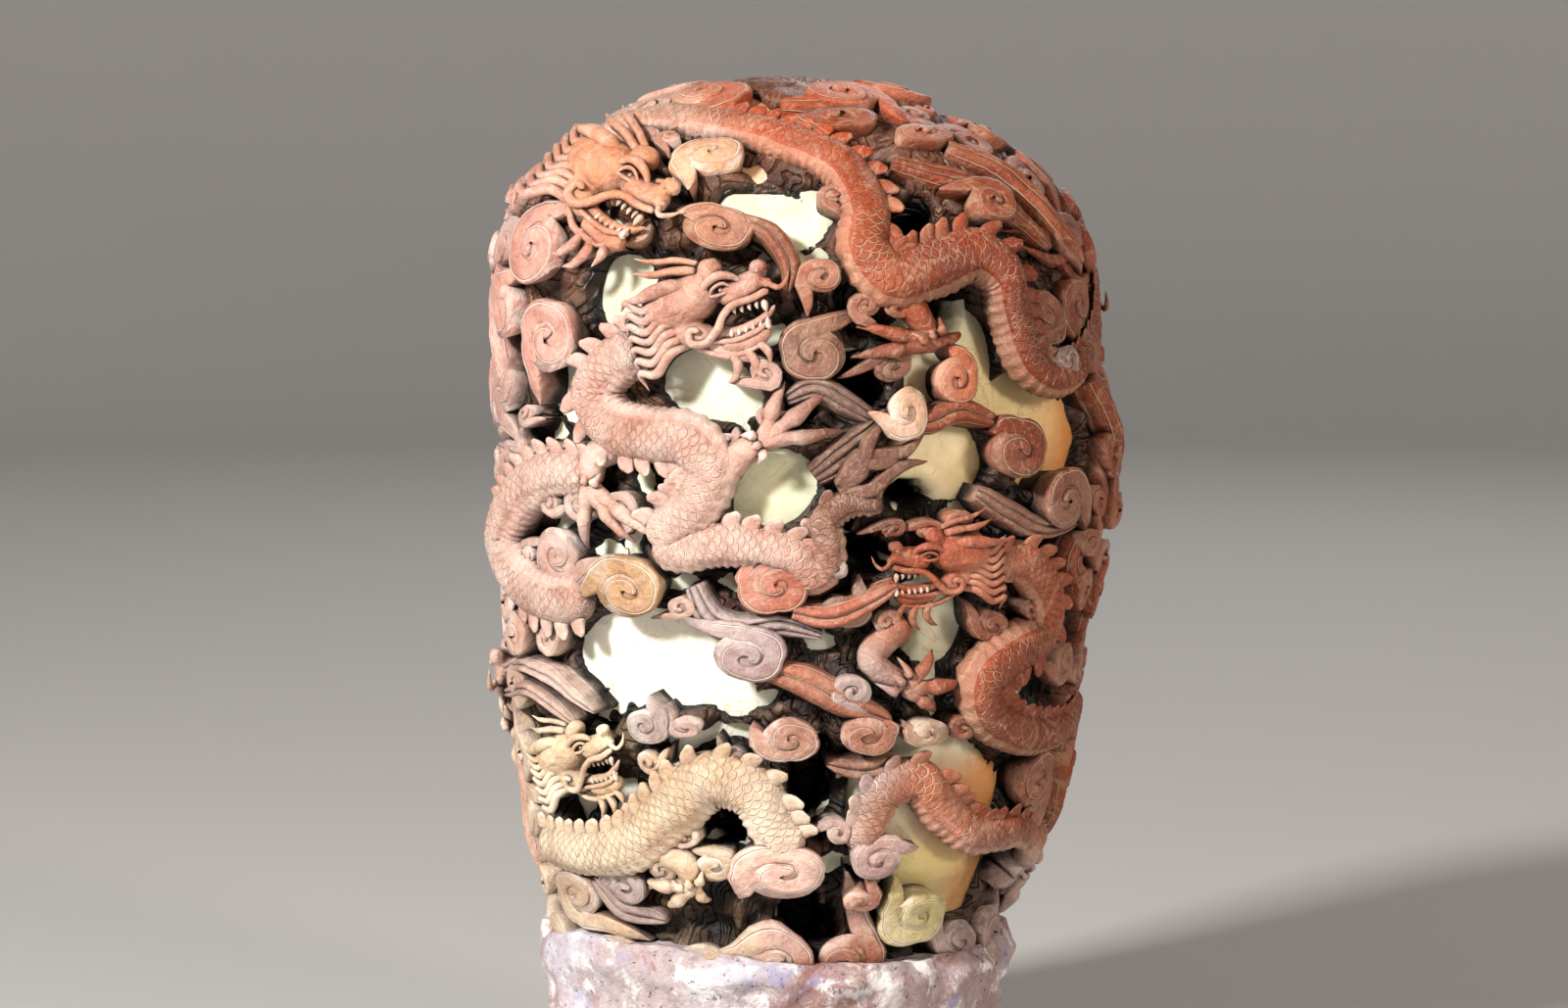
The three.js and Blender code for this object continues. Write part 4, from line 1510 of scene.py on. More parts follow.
    def eye(self, stock: Stock, tint: Array | None) -> None:
        """Add the eye and the nostril coils.

        Args:
            stock: where it goes.
            tint: colour that it leans to.
        """
        for along, up, proud, radius in ((0.55, 0.095, 0.135, 0.055), (0.92, 0.2, 0.15, 0.03)):
            places, radii = self.at(((along - 0.02, up, proud, radius), (along + 0.02, up, proud, radius)))
            add_limb(stock, places, radii, sides=16, step=0.6, tint=tint)

    def teeth(self, stock: Stock) -> None:
        """Add the rows of teeth and the fangs.

        Args:
            stock: where they go.
        """
        ivory = np.array((*srgb(226, 206, 186), 0.7))
        for k in range(self.tooth_count):
            along = 0.56 + 0.36 * k / (self.tooth_count - 1)
            size = 0.04 if k < self.tooth_count - 1 else 0.055
            for root, tip in ((-0.08, -0.16), (-0.35, -0.27)):
                long = (tip - root) * (1.5 if size > 0.05 else 1)
                form = ((along, root, 0.1, size * 0.6), (along, root + long * 0.6, 0.11, size * 0.5),
                        (along + 0.01, root + long, 0.11, 0.004))
                places, radii = self.at(form)
                add_limb(stock, places, radii, sides=8, step=0.7, tint=ivory)

    def mane(self, stock: Stock, tint: Array | None) -> None:
        """Add the wavy strands behind the cheek.

        Args:
            stock: where it goes.
            tint: colour that it leans to.
        """
        for k in range(self.mane_count):
            up = 0.08 - 0.085 * k
            wave = 0.045
            form = (
                (0.16, up * 0.8, 0.1 - 0.01 * k, 0.04),
                (-0.02, up + wave, 0.14, 0.048),
                (-0.2, up * 1.15 - wave, 0.13, 0.045),
                (-0.36, up * 1.3 + wave, 0.09, 0.034),
                (-0.44 + 0.02 * k, up * 1.5 - wave, 0.02, 0.004),
            )
            places, radii = self.at(form)
            add_limb(stock, places, radii, sides=10, step=1.0, tint=tint)


def blended(rough: Stock, voxel: float) -> tuple[Array, Array]:
    """Return forms grown together into one smooth surface.

    Args:
        rough: the closed forms.
        voxel: the size of the cells that they are joined in, in mm.

    Returns:
        The points in mm and the quads.
    """
    points, faces = np.concatenate(rough.points), np.concatenate(rough.faces)
    mesh = bpy.data.meshes.new("rough")
    polygons = [f[:3] if f[2] == f[3] else f for f in faces.tolist()]
    mesh.from_pydata((points * MM).tolist(), [], polygons)
    scratch = new_object("rough", mesh)
    remesh = scratch.modifiers.new("join", "REMESH")
    remesh.mode = "VOXEL"
    remesh.voxel_size = voxel * MM
    smooth = scratch.modifiers.new("soften", "SMOOTH")
    smooth.factor, smooth.iterations = 0.5, 6
    result = scratch.evaluated_get(bpy.context.evaluated_depsgraph_get()).to_mesh()
    out = np.empty(len(result.vertices) * 3)
    result.vertices.foreach_get("co", out)
    corners = [list(polygon.vertices) for polygon in result.polygons]
    quads = np.array([(c + c[-1:])[:4] for c in corners])
    scratch.to_mesh_clear()
    bpy.data.objects.remove(scratch)
    bpy.data.meshes.remove(mesh)
    return out.reshape(-1, 3) / MM, quads


# Clouds


@dataclass(frozen=True)
class Cloud:
    """A scrolled cloud: place, radius, where its rim begins, the hand it winds on, and its tail."""

    at: Place
    radius: float
    start: float
    turn: int
    depth: float = 7
    tail: float = 1.6
    bend: float = 0.5
    turns: float = 1.35
    flat: float = 0.82
    lean: float = 0
    tint: Tint = (0, 0, 0, 0)


@dataclass(frozen=True)
class Band:
    """A long band of cloud: its places on the elevation, half its width and how many strands it has."""

    route: tuple[Place, ...]
    width: float
    strands: int = 2
    depth: float = 8
    tint: Tint = (0, 0, 0, 0)


CLOUDS = (
    Cloud((-31, 348), 15, 200, -1, tail=1.2, flat=0.62, lean=8, tint=(*srgb(226, 178, 132), 0.7)),
    Cloud((-30, 320), 16, 160, -1, tail=0, flat=0.62, lean=-10, tint=(*srgb(150, 96, 82), 0.7)),
    Cloud((6, 302), 9, 200, -1, tint=(*srgb(176, 120, 98), 0.7)),
    Cloud((4, 275), 14, 100, 1, depth=11, tint=(*PURPLE, 0.6)),
    Cloud((-93, 313), 17, 100, 1, flat=1.05, tail=1.0),
    Cloud((-88, 279), 16, 200, -1, flat=0.95, tail=1.3),
    Cloud((-104, 334), 8, 80, 1, turns=1.0),
    Cloud((-61, 188), 16, 150, -1, tail=1.3, flat=0.76, lean=-6, tint=(*TAN, 0.85)),
    Cloud((-9, 190), 14.5, 170, 1, tail=0.6, flat=0.76, tint=(*srgb(186, 112, 96), 0.8)),
    Cloud((-20, 165), 15, 100, -1, tail=1.6, flat=0.72, lean=-8, tint=(*ASH, 0.8)),
    Cloud((-5, 135), 13, 200, 1, flat=0.7, tail=0.7, tint=(*srgb(206, 160, 136), 0.8)),
    Cloud((21, 136), 12, 20, -1, flat=0.72, tail=0.4, turns=0.9, tint=(*srgb(186, 128, 104), 0.8)),
    Cloud((74, 240), 14.5, 120, -1, tail=0.4, flat=0.84, lean=-8, tint=(*srgb(132, 66, 50), 0.85)),
    Cloud((52, 266), 9.5, 60, -1, flat=1.1, tail=0.8, tint=(*srgb(190, 112, 86), 0.8)),
    Cloud((36, 255), 9, 230, 1, flat=1.2, tail=1.2, turns=1.0, tint=(*srgb(226, 186, 150), 0.8)),
    Cloud((91, 220), 13, 20, 1, flat=1.0, tint=(*srgb(140, 104, 98), 0.8)),
    Cloud((108, 216), 8, 150, 1, turns=0.9, flat=1.1, tint=(*srgb(150, 84, 60), 0.8)),
    Cloud((99, 204), 8, 10, -1, turns=0.9, tint=(*srgb(158, 106, 92), 0.8)),
    Cloud((-7, 85), 19, 190, -1, depth=6, tail=0.9, flat=0.66, lean=-2, tint=(*srgb(240, 200, 184), 0.9)),
    Cloud((25, 89), 11, 60, 1, flat=0.95, tail=1.2, tint=(*srgb(196, 164, 160), 0.85)),
    Cloud((38, 70), 15, 170, 1, flat=0.74, tail=1.1, tint=(*LIME, 0.75)),
    Cloud((18, 74), 8, 20, -1, flat=0.6, turns=0.8, tint=(*srgb(190, 134, 112), 0.8)),
    Cloud((64, 331), 12, 100, -1, flat=0.9, tail=1.4, tint=(*srgb(172, 106, 82), 0.6)),
    Cloud((12, 362), 17, 180, 1, flat=0.5, turns=1.1, tail=0.8, tint=(*srgb(160, 92, 66), 0.7)),
    Cloud((38, 356), 14, 20, -1, flat=0.5, turns=1.1, tail=1.0, tint=(*srgb(168, 100, 76), 0.7)),
    Cloud((-54, 139), 9.5, 40, -1, flat=0.8, depth=9, tail=1.1, tint=(*ASH, 0.85)),
    Cloud((-40, 138), 8, 180, 1, flat=0.6, depth=10, turns=0.9, tint=(*srgb(196, 168, 164), 0.8)),
    Cloud((-60, 78), 11, 150, -1, flat=0.7, depth=10, tint=(*ASH, 0.85)),
    Cloud((13, 180), 11, 20, -1, flat=0.6, depth=9, tint=(*srgb(142, 122, 122), 0.85)),
    Cloud((11, 195), 5.5, 200, -1, depth=8, tint=(*ASH, 0.8)),
    Cloud((17, 153), 8.5, 250, -1, depth=8, tail=1.5, tint=(*srgb(180, 160, 156), 0.85)),
    Cloud((43, 137), 10, 170, 1, flat=0.6, turns=0.7, tail=0.4, tint=(*srgb(190, 160, 128), 0.8)),
    Cloud((91, 273), 8.5, 200, 1, flat=0.8, turns=0.9, tail=0.8, tint=(*ASH, 0.8)),
    Cloud((-104, 290), 10, 90, 1, turns=0.9, tail=1.0, flat=1.4),
    Cloud((-100, 172), 10, 80, -1, turns=1.1, tail=1.0),
    Cloud((96, 126), 11, 85, -1, turns=1.0, tail=1.2, flat=1.3, tint=(*srgb(168, 96, 60), 0.7)),
    Cloud((103, 186), 10, 80, 1, turns=1.0, tail=1.2, flat=1.3),
)

BANDS = (
    Band(((-22, 324), (-11, 318), (-5, 307), (-6, 296)), 4.2, 2, 6, (*srgb(148, 96, 84), 0.8)),
    Band(((-12, 160), (2, 156), (16, 148), (30, 142)), 6.0, 2, 8, (*srgb(182, 118, 92), 0.8)),
    Band(((-38, 190), (-32, 178), (-22, 174), (-8, 176), (6, 172)), 6.0, 3, 10, (*ASH, 0.8)),
    Band(((-4, 181), (8, 179), (20, 183), (33, 190)), 4.6, 2, 6, (*srgb(186, 112, 96), 0.8)),
    Band(((-106, 161), (-95, 162), (-84, 155), (-73, 145)), 3.6, 2, 8, (*srgb(196, 168, 164), 0.6)),
    Band(((-105, 152), (-95, 153), (-86, 147), (-80, 141)), 3.4, 2, 8, (*srgb(180, 140, 132), 0.6)),
    Band(((66, 251), (54, 254), (43, 250), (34, 254)), 4.6, 2, 7, (*srgb(150, 80, 58), 0.8)),
    Band(((101, 266), (107, 254), (110, 242), (108, 230)), 5.0, 2, 7),
    Band(((98, 208), (94, 198), (100, 186), (103, 172)), 5.0, 2, 9),
    Band(((94, 154), (99, 142), (99, 128), (95, 112), (91, 98)), 5.6, 3, 8, (*srgb(130, 70, 46), 0.6)),
    Band(((-101, 132), (-99, 116), (-96, 100), (-95, 84)), 6.0, 3, 8, (*srgb(196, 134, 120), 0.6)),
    Band(((-106, 306), (-108, 290), (-106, 272), (-103, 262)), 5.4, 3, 8),
    Band(((30, 347), (44, 343), (58, 338), (74, 326), (86, 314)), 5.0, 3, 8, (*srgb(150, 88, 64), 0.6)),
    Band(((48, 352), (64, 345), (78, 334), (90, 320), (98, 308)), 5.0, 2, 7, (*srgb(164, 96, 66), 0.6)),
    Band(((60, 224), (70, 217), (82, 210), (96, 212)), 5.0, 3, 9, (*srgb(150, 120, 118), 0.8)),
    Band(((4, 230), (14, 238), (24, 246), (30, 254)), 6.5, 4, 11, (*PURPLE, 0.8)),
    Band(((-6, 258), (4, 262), (16, 256), (26, 250)), 5.0, 3, 11, (*srgb(150, 132, 134), 0.8)),
    Band(((-72, 84), (-62, 74), (-48, 70)), 5.0, 2, 10, (*ASH, 0.8)),
    Band(((32, 128), (20, 124), (8, 126)), 4.5, 2, 10, (*srgb(160, 120, 104), 0.8)),
    Band(((-106, 240), (-97, 236), (-86, 238), (-76, 240)), 4.6, 3, 9, (*srgb(206, 176, 172), 0.8)),
    Band(((-88, 346), (-98, 340), (-103, 328)), 5.0, 3, 8, (*srgb(206, 156, 136), 0.6)),
    Band(((-8, 373), (6, 371), (22, 370)), 5.0, 2, 7, (*srgb(190, 104, 62), 0.6)),
)


@dataclass
class CloudCarver:
    """Sizes that the clouds share, and how scrolls and bands are cut."""

    rise: float = 5.2
    root: float = 13
    half: float = 0.24
    lobes: float = 0.62
    bed: float = 0.74
    section = np.array([
        (-0.5, -1), (-0.62, -0.4), (-0.93, -0.08), (-1.0, 0.3), (-0.97, 0.78), (-0.88, 0.93),
        (-0.72, 0.99), (-0.3, 1), (0, 1), (0.3, 1), (0.72, 0.98), (0.88, 0.9), (0.97, 0.72),
        (1.0, 0.3), (0.93, -0.08), (0.62, -0.4), (0.5, -1),
    ])

    def carve(self, stock: Stock, spot: Spot, cloud: Cloud, step: float = 1.1) -> None:
        """Add one scroll.

        Args:
            stock: where it goes.
            spot: the place on the skin over its middle.
            cloud: its sizes.
            step: how far apart its rings are.
        """
        size = cloud.radius
        winding = cloud.turns * 2 * np.pi
        psi = np.linspace(0, winding, int(winding * 0.5 * size / step))
        wound = psi / winding
        reach = size * (0.77 - 0.71 * wound)
        angle = math.radians(cloud.start) + cloud.turn * psi
        curl = np.stack([reach * np.cos(angle), reach * np.sin(angle)], axis=1)
        end = np.clip((1 - wound) / 0.06, 0, 1)
        width = size * self.half * np.sqrt(0.02 + 0.98 * (1 - (1 - end) ** 2))
        lobe = self.lobes * np.abs(np.sin(2 * angle)) ** 0.7 * np.clip(1.3 - 2.4 * wound, 0, 1)
        lift = self.rise * (0.78 + 0.22 * wound)
        if cloud.tail > 0:
            count = max(int(cloud.tail * size / step), 4)
            back = np.linspace(1, 0, count, endpoint=False)
            turn_by = math.radians(cloud.start) + cloud.turn * cloud.bend * back * 0.9
            way = np.stack([np.sin(turn_by), -np.cos(turn_by)], axis=1) * cloud.turn
            flow = np.cumsum((way * cloud.tail * size / count)[::-1], axis=0)[::-1]
            curl = np.concatenate([curl[0] + flow, curl])
            width = np.concatenate([size * self.half * (1 - back**2.6) + 0.4, width])
            lobe = np.concatenate([lobe[0] * (1 - back), lobe])
            lift = np.concatenate([self.rise * (0.78 - 0.6 * back**2), lift])
        heading = unit(np.gradient(curl, axis=0))
        aside = np.stack([heading[:, 1], -heading[:, 0]], axis=1) * cloud.turn
        q, h = self.section.T
        wide = width[:, None] * (1 + np.where(q[None] > 0, lobe[:, None], 0))
        round_off = np.minimum(1, (width / (0.16 * size)) ** 0.6)[:, None]
        up = np.where(h[None] > 0, h[None] * lift[:, None] * round_off, h[None] * self.root)
        flat = curl[:, None] + aside[:, None] * (q[None] * wide)[..., None]
        rings = self.lay(spot, cloud, flat, up).reshape(len(curl), len(q), 3)
        faces = capped_tube(len(curl), len(q))
        rim = np.concatenate([np.tile(q, len(curl)), [0, 0]])
        stock.add(with_ends(rings), faces if cloud.turn > 0 else faces[:, ::-1], np.array(cloud.tint),
                  rim=rim, kind=Kind.CLOUD.value)
        self.plug(stock, spot, cloud)

    def plug(self, stock: Stock, spot: Spot, cloud: Cloud, sides: int = 30) -> None:
        """Add the disc that closes a scroll behind its groove.

        Args:
            stock: where it goes.
            spot: the place on the skin over its middle.
            cloud: the scroll's sizes.
            sides: how many faces go round it.
        """
        round_it = np.linspace(0, 2 * np.pi, sides, endpoint=False)
        disc = np.stack([np.cos(round_it), np.sin(round_it)], axis=1)
        flat = cloud.radius * np.array([0.5, 0.76, 0.02])[:, None, None] * disc[None]
        top = self.rise * self.bed
        up = np.array([-self.root, top, top])[:, None] + 0 * round_it
        rings = self.lay(spot, cloud, flat, up).reshape(3, sides, 3)
        stock.add(with_ends(rings), capped_tube(3, sides), np.array(cloud.tint), kind=Kind.CLOUD.value)

    def lay(self, spot: Spot, cloud: Cloud, flat: Array, up: Array) -> Array:
        """Return places of a cloud's own plane, at heights over its bed, as points over the skin.

        Args:
            spot: the place on the skin over its middle.
            cloud: its sizes.
            flat: places across and up in its plane.
            up: heights over its bed.

        Returns:
            The points in mm, one a row.
        """
        lean = math.radians(cloud.lean)
        x, y = flat[..., 0], flat[..., 1] * cloud.flat
        across = x * math.cos(lean) - y * math.sin(lean)
        above = x * math.sin(lean) + y * math.cos(lean)
        return spot.wrap(across.ravel(), above.ravel(), cloud.depth - up.ravel())

    def sweep(self, stock: Stock, band: Band, route: Array, step: float = 1.0) -> None:
        """Add one band of strands that lie side by side, along a route of points in mm.

        Args:
            stock: where it goes.
            band: its sizes.
            route: places along its middle, in mm.
            step: how far apart its rings are.
        """
        line, place = smooth_route(route, step)
        share = place / (len(route) - 1)
        width = band.width * (0.12 + 0.88 * np.sin(np.pi * np.clip(0.12 + 0.86 * share, 0, 1)) ** 0.6)
        _, left, out = frames(line)
        q = np.linspace(-1, 1, 7 * band.strands + 1)
        ridges = ridge_of(q, band.strands) ** 0.45
        top = (1 - np.abs(q) ** 5) * (0.62 + 0.38 * ridges)
        q = np.concatenate([[-1], q, [1]])
        top = np.concatenate([[-1], top, [-1]])
        rise = self.rise * 0.85 * (width / band.width) ** 0.5
        up = np.where(top[None] >= 0, top[None] * rise[:, None], -self.root)
        aside = left[:, None] * (q[None] * width[:, None])[..., None]
        rings = line[:, None] + aside + out[:, None] * up[..., None]
        ripple = np.where(top < 0, 0, 1.04 - ridge_of(q, band.strands))
        stock.add(with_ends(rings), capped_tube(len(line), len(q)), np.array(band.tint),
                  rim=np.concatenate([np.tile(ripple, len(line)), [0, 0]]), kind=Kind.CLOUD.value)


def ridge_of(q: Array, strands: int) -> Array:
    """Return how near to the crown of a strand places across a band are, from 0 in a groove to 1."""
    return np.abs(np.sin(q * np.pi / 2 * strands + (np.pi / 2 if strands % 2 else 0)))


# Windows and hollows


@dataclass(frozen=True)
class Opening:
    """An oval through the ground: place, radius, how long, and the angle of the long side."""

    at: Place
    radius: float
    long: float = 1.0
    angle: float = 0.0


def openings(*rows: tuple[float, ...]) -> tuple[Opening, ...]:
    """Return openings from rows of across, up, radius, how long and angle."""
    return tuple(Opening((row[0], row[1]), *row[2:]) for row in rows)


WINDOWS = openings(
    (-57, 161, 20, 2.1, -10), (-30, 150, 12, 1.4, -35), (-12, 223, 16, 1.4, 40),
    (-72, 296, 16, 1.3, 90), (-87, 257, 15, 1.6, -22), (-13, 328, 16, 1.7, -12),
    (-37, 261, 15, 1.7, -14), (50, 238, 21, 1.3, -30), (94, 246, 20, 1.5, -62),
    (60, 268, 20, 1.3, 70), (51, 175, 17, 1.1, 0), (50, 101, 35, 1.05, 75),
    (-72, 79, 10, 1.2, 0), (-74, 111, 8, 1.2, 0), (-15, 147, 6, 1.6, 25), (8, 166, 6, 1.7, 0),
    (-24, 367, 9, 2.0, -4),
)
HOLLOWS = openings(
    (40, 329, 12, 1.2, 20), (57, 289, 11, 1.2, 30), (87, 298, 7, 2.0, 80),
    (-38, 326, 7, 1.5, 30), (20, 264, 11, 1.5, -30), (31, 246, 6, 1.3, 0), (0, 253, 6, 1.3, 20),
    (-54, 229, 10, 1.2, 0), (14, 213, 7, 1.5, 90), (43, 221, 8, 1.6, 0), (24, 198, 9, 1.8, -10),
    (38, 168, 10, 1.2, 0), (81, 159, 9, 1.2, 0), (84, 142, 8, 1.5, -8), (4, 117, 11, 1.7, 75),
    (-30, 102, 10, 1.0, 0), (-84, 110, 6, 1.6, 60), (-90, 86, 6, 1.4, 0), (2, 65, 9, 1.9, -8),
    (83, 72, 8, 1.6, 60), (-27, 191, 5, 1.3, 0), (99, 198, 7, 1.5, 90), (99, 112, 8, 2.0, 85),
)


def inside(places: Array, openings: tuple[Opening, ...], soft: float) -> Array:
    """Return how far inside openings places lie, from 0 outside to 1 inside.

    Args:
        places: places of the elevation.
        openings: the ovals.
        soft: how wide the edge is, in mm.

    Returns:
        One value for each place.
    """
    result = np.zeros(len(places))
    for opening in openings:
        turn = math.radians(opening.angle)
        x, y = (places - np.array(opening.at)).T
        along = (x * math.cos(turn) + y * math.sin(turn)) / opening.long
        aside = -x * math.sin(turn) + y * math.cos(turn)
        away = np.hypot(along, aside)
        result = np.maximum(result, 1 - smoothstep(opening.radius - soft, opening.radius, away))
    return result


# Sub-assemblies


@dataclass
class BackDragon:
    """A dragon out of sight, swinging between two bearings."""

    start: float
    end: float
    height: float
    swing: float
    crown: int
    waves: float = 1.4
    girth: tuple[float, float, float] = (8, 11, 4.5)

    def place(self, share: Array, depth: float = 8) -> Array:
        """Return places along its middle."""
        heights = self.height + self.swing * np.sin(2 * np.pi * self.waves * share)
        return STONE.on_skin(self.start + (self.end - self.start) * share, heights, depth)

    def head(self, carver: DragonCarver) -> HeadCarver:
        """Return its head.

        Args:
            carver: the sizes that dragons share.

        Returns:
            The carver of its head.
        """
        ahead = (self.start - self.end) * 0.28
        bearings = np.array([self.start, self.start + ahead])
        skull, nose = STONE.on_skin(bearings, self.height + np.array([2.0, 4.0]), carver.head_depth)
        return HeadCarver(skull, nose, -self.crown, voxel=1.25)


@dataclass(frozen=True)
class BackWindow:
    """An oval window out of sight: its bearing, its height and half its sizes."""

    bearing: float
    height: float
    wide: float
    high: float


BACK_WINDOWS = (
    BackWindow(98, 262, 15, 19),
    BackWindow(176, 240, 26, 13),
    BackWindow(-112, 212, 17, 22),
    BackWindow(150, 108, 19, 14),
    BackWindow(-140, 330, 16, 12),
    BackWindow(214, 176, 18, 13),
)
BACK_DRAGONS = (BackDragon(128, 232, 285, 30, 1), BackDragon(240, 122, 150, 34, -1))


@dataclass
class Carving:
    """The whole carving, built from its ground to its finest forms."""

    ground_depth: float = 12
    heart_depth: float = 19
    window_depth: float = 26
    hollow_depth: float = 40
    front_edge: float = 108
    front_step: float = 0.95
    back_step: float = 2.4
    heart_step: float = 1.8
    # Largest and smallest radius of the small clouds, a round of them after the other.
    front_fill: tuple[Place, ...] = ((15, 9), (10, 5.5), (7, 3.8))
    back_fill: tuple[Place, ...] = ((24, 17), (17, 11), (11, 7))
    seed: int = 11
    dragon: DragonCarver = field(default_factory=DragonCarver)
    cloud: CloudCarver = field(default_factory=CloudCarver)
    lines: list[Array] = field(default_factory=list)
    spots: list[tuple[Array, float]] = field(default_factory=list)

    def dragons(self) -> tuple[Stock, Stock]:
        """Return the dragons' bodies, and their heads, legs and tails, of the front.

        Returns:
            The bodies, and the rest.
        """
        bodies, heads = Stock(), Stock()
        for dragon in DRAGONS:
            self.dragon.carve(dragon, bodies, heads)
            self.lines.append(smooth_route(STONE.from_drawing(dragon.route, self.dragon.depth), 4)[0])
            if dragon.head:
                ends = STONE.from_drawing([dragon.head.skull, dragon.head.nose], self.dragon.head_depth)
                self.lines.append(np.linspace(ends[0], ends[1], 8))
            for leg in dragon.legs:
                places = STONE.from_drawing([*leg.joints, *leg.claws], 7)
                self.spots += [(p, 6.0) for p in places]
        return bodies, heads

    def clouds(self) -> Stock:
        """Return the clouds of the front, large ones first and small ones in the gaps.

        Returns:
            The clouds.
        """
        stock = Stock()
        for cloud in CLOUDS:
            spot = Spot.over(STONE.from_drawing([cloud.at], cloud.depth)[0])
            self.cloud.carve(stock, spot, cloud)
            self.spots.append((spot.origin, cloud.radius))
        for band in BANDS:
            self.cloud.sweep(stock, band, STONE.from_drawing(band.route, band.depth))
            places = smooth_route(STONE.from_drawing(band.route, 0), 5)[0]
            self.spots += [(place, band.width) for place in places]
        return stock

    def gaps(self, bearings: Array, heights: Array, most: float, least: float, step: float,
             stock: Stock) -> None:
        """Fill the gaps between the larger forms with small scrolls.

        Args:
            bearings: the bearings to try, in degrees.
            heights: the heights to try.
            most: the largest radius.
            least: the smallest radius.
            step: how far apart a scroll's rings are.
            stock: where they go.
        """
        random = np.random.default_rng(self.seed)
        b, z = (side.ravel() for side in np.meshgrid(bearings, heights))
        b = b + random.uniform(-3, 3, len(b))
        z = z + random.uniform(-4, 4, len(z))
        tries = STONE.on_skin(b, z)
        open_front = (inside(STONE.to_drawing(tries), WINDOWS + HOLLOWS, 1) > 0) & (tries[:, 1] < 20)
        closed = ~(open_front | (self.back_windows(tries) > 0))
        nodes = np.concatenate(self.lines)
        for p in tries[closed]:
            room = np.linalg.norm(nodes - p, axis=1).min() - 8
            if room >= least:
                places = np.array([place for place, _ in self.spots])
                radii = np.array([radius for _, radius in self.spots])
                room = min(room, (np.linalg.norm(places - p, axis=1) - radii).min())
            if room < least:
                continue
            radius = min(room * 1.45, most)
            cloud = Cloud((0, 0), radius, random.uniform(0, 360), random.choice([-1, 1]),
                          depth=random.uniform(8.5, 11), tail=random.uniform(1.0, 2.2), turns=1.15,
                          flat=random.uniform(0.6, 0.95),
                          lean=random.uniform(-30, 30), tint=(*ASH, random.uniform(0, 0.28)))
            spot = Spot.over(p)
            self.cloud.carve(stock, spot, cloud, step)
            self.spots.append((spot.origin, radius))

    def streams(self, stock: Stock) -> None:
        """Add long waving bands of cloud over the sides and the back.

        Args:
            stock: where they go.
        """
        random = np.random.default_rng(self.seed + 5)
        nodes = np.concatenate(self.lines)
        for k, height in enumerate(range(84, 356, 24)):
            for j in range(5):
                share = np.linspace(0, 1, 7)
                bearings = 84 + 33 * j + 16 * (k % 2) + random.uniform(24, 36) * share
                heights = height + 8 * np.sin(5.5 * share + random.uniform(0, 6))
                skin = STONE.on_skin(bearings, heights)
                away = np.linalg.norm(nodes[None] - skin[:, None], axis=2).min(axis=1)
                if away[1:-1].min() < 13 or self.back_windows(skin).max() > 0:
                    continue
                band = Band((), random.uniform(5, 8), random.integers(2, 5),
                            tint=(*ASH, random.uniform(0, 0.28)))
                route = STONE.on_skin(bearings, heights, random.uniform(6.5, 9))
                self.cloud.sweep(stock, band, route, 2.8)
                self.spots += [(place, band.width * 0.8) for place in skin]

    def back(self) -> Stock:
        """Return the carving out of sight.

        Returns:
            Its dragons and clouds.
        """
        stock = Stock()
        for dragon in BACK_DRAGONS:
            route = dragon.place(np.linspace(0, 1, 12))
            self.dragon.body(stock, route, dragon.girth, -dragon.crown, None, coarse=2.3)
            head = dragon.head(self.dragon)
            head.carve(stock, None)
            self.lines += [smooth_route(route, 4)[0], np.linspace(head.skull, head.nose, 8)]
        for row, height in enumerate((332, 218, 94)):
            for k in range(4):
                bearing = 112 + 40 * k + (18 if row % 2 else 0)
                spot = Spot.over(STONE.on_skin([bearing], [height])[0])
                turn = 1 if (row + k) % 2 else -1
                cloud = Cloud((0, 0), 18, 50 * k, turn, depth=9, tail=1.6)
                self.cloud.carve(stock, spot, cloud, 2.6)
                self.spots.append((spot.origin, 18))
        self.streams(stock)
        for k in range(5):
            spot = Spot.over(STONE.on_skin([72 * k + 30], [370.5])[0])
            cloud = Cloud((0, 0), 17, 80 * k, 1, depth=6.5, tail=1.3, flat=0.9)
            self.cloud.carve(stock, spot, cloud, 2.0)
            self.spots.append((spot.origin, 17))
        return stock

    def shell(self, bearings: Array, heights: Array, depths: object) -> tuple[Array, Array]:
        """Return a closed skin of rings with its depth given by a function of its places.

        Args:
            bearings: the bearings of its columns, in degrees.
            heights: the heights of its rows.
            depths: a function from places on the skin to depths.

        Returns:
            The points in mm and the faces.
        """
        b, z = np.meshgrid(bearings, heights)
        on_it = STONE.on_skin(b.ravel(), z.ravel())
        points = STONE.on_skin(b.ravel(), z.ravel(), depths(on_it))
        low = points[: len(bearings)].mean(axis=0)
        high = points[-len(bearings) :].mean(axis=0)
        return np.concatenate([points, [low, high]]), capped_tube(len(heights), len(bearings))

    def rows(self, low: float, count: int) -> Array:
        """Return heights from low to the top, closer together where the dome turns over."""
        return low + (STONE.height - 0.4 - low) * np.sin(np.linspace(0, np.pi / 2, count))

    def top_fill(self, heights: Array) -> Array:
        """Return how much of a depth is left near the top of the dome.

        Args:
            heights: heights above the underside.

        Returns:
            One share for each height.
        """
        share = np.clip((heights - 40) / (STONE.height - 40), 0, 1)
        lift = 2 / np.pi * np.arcsin(share)
        return 1 - 0.75 * lift**3.2

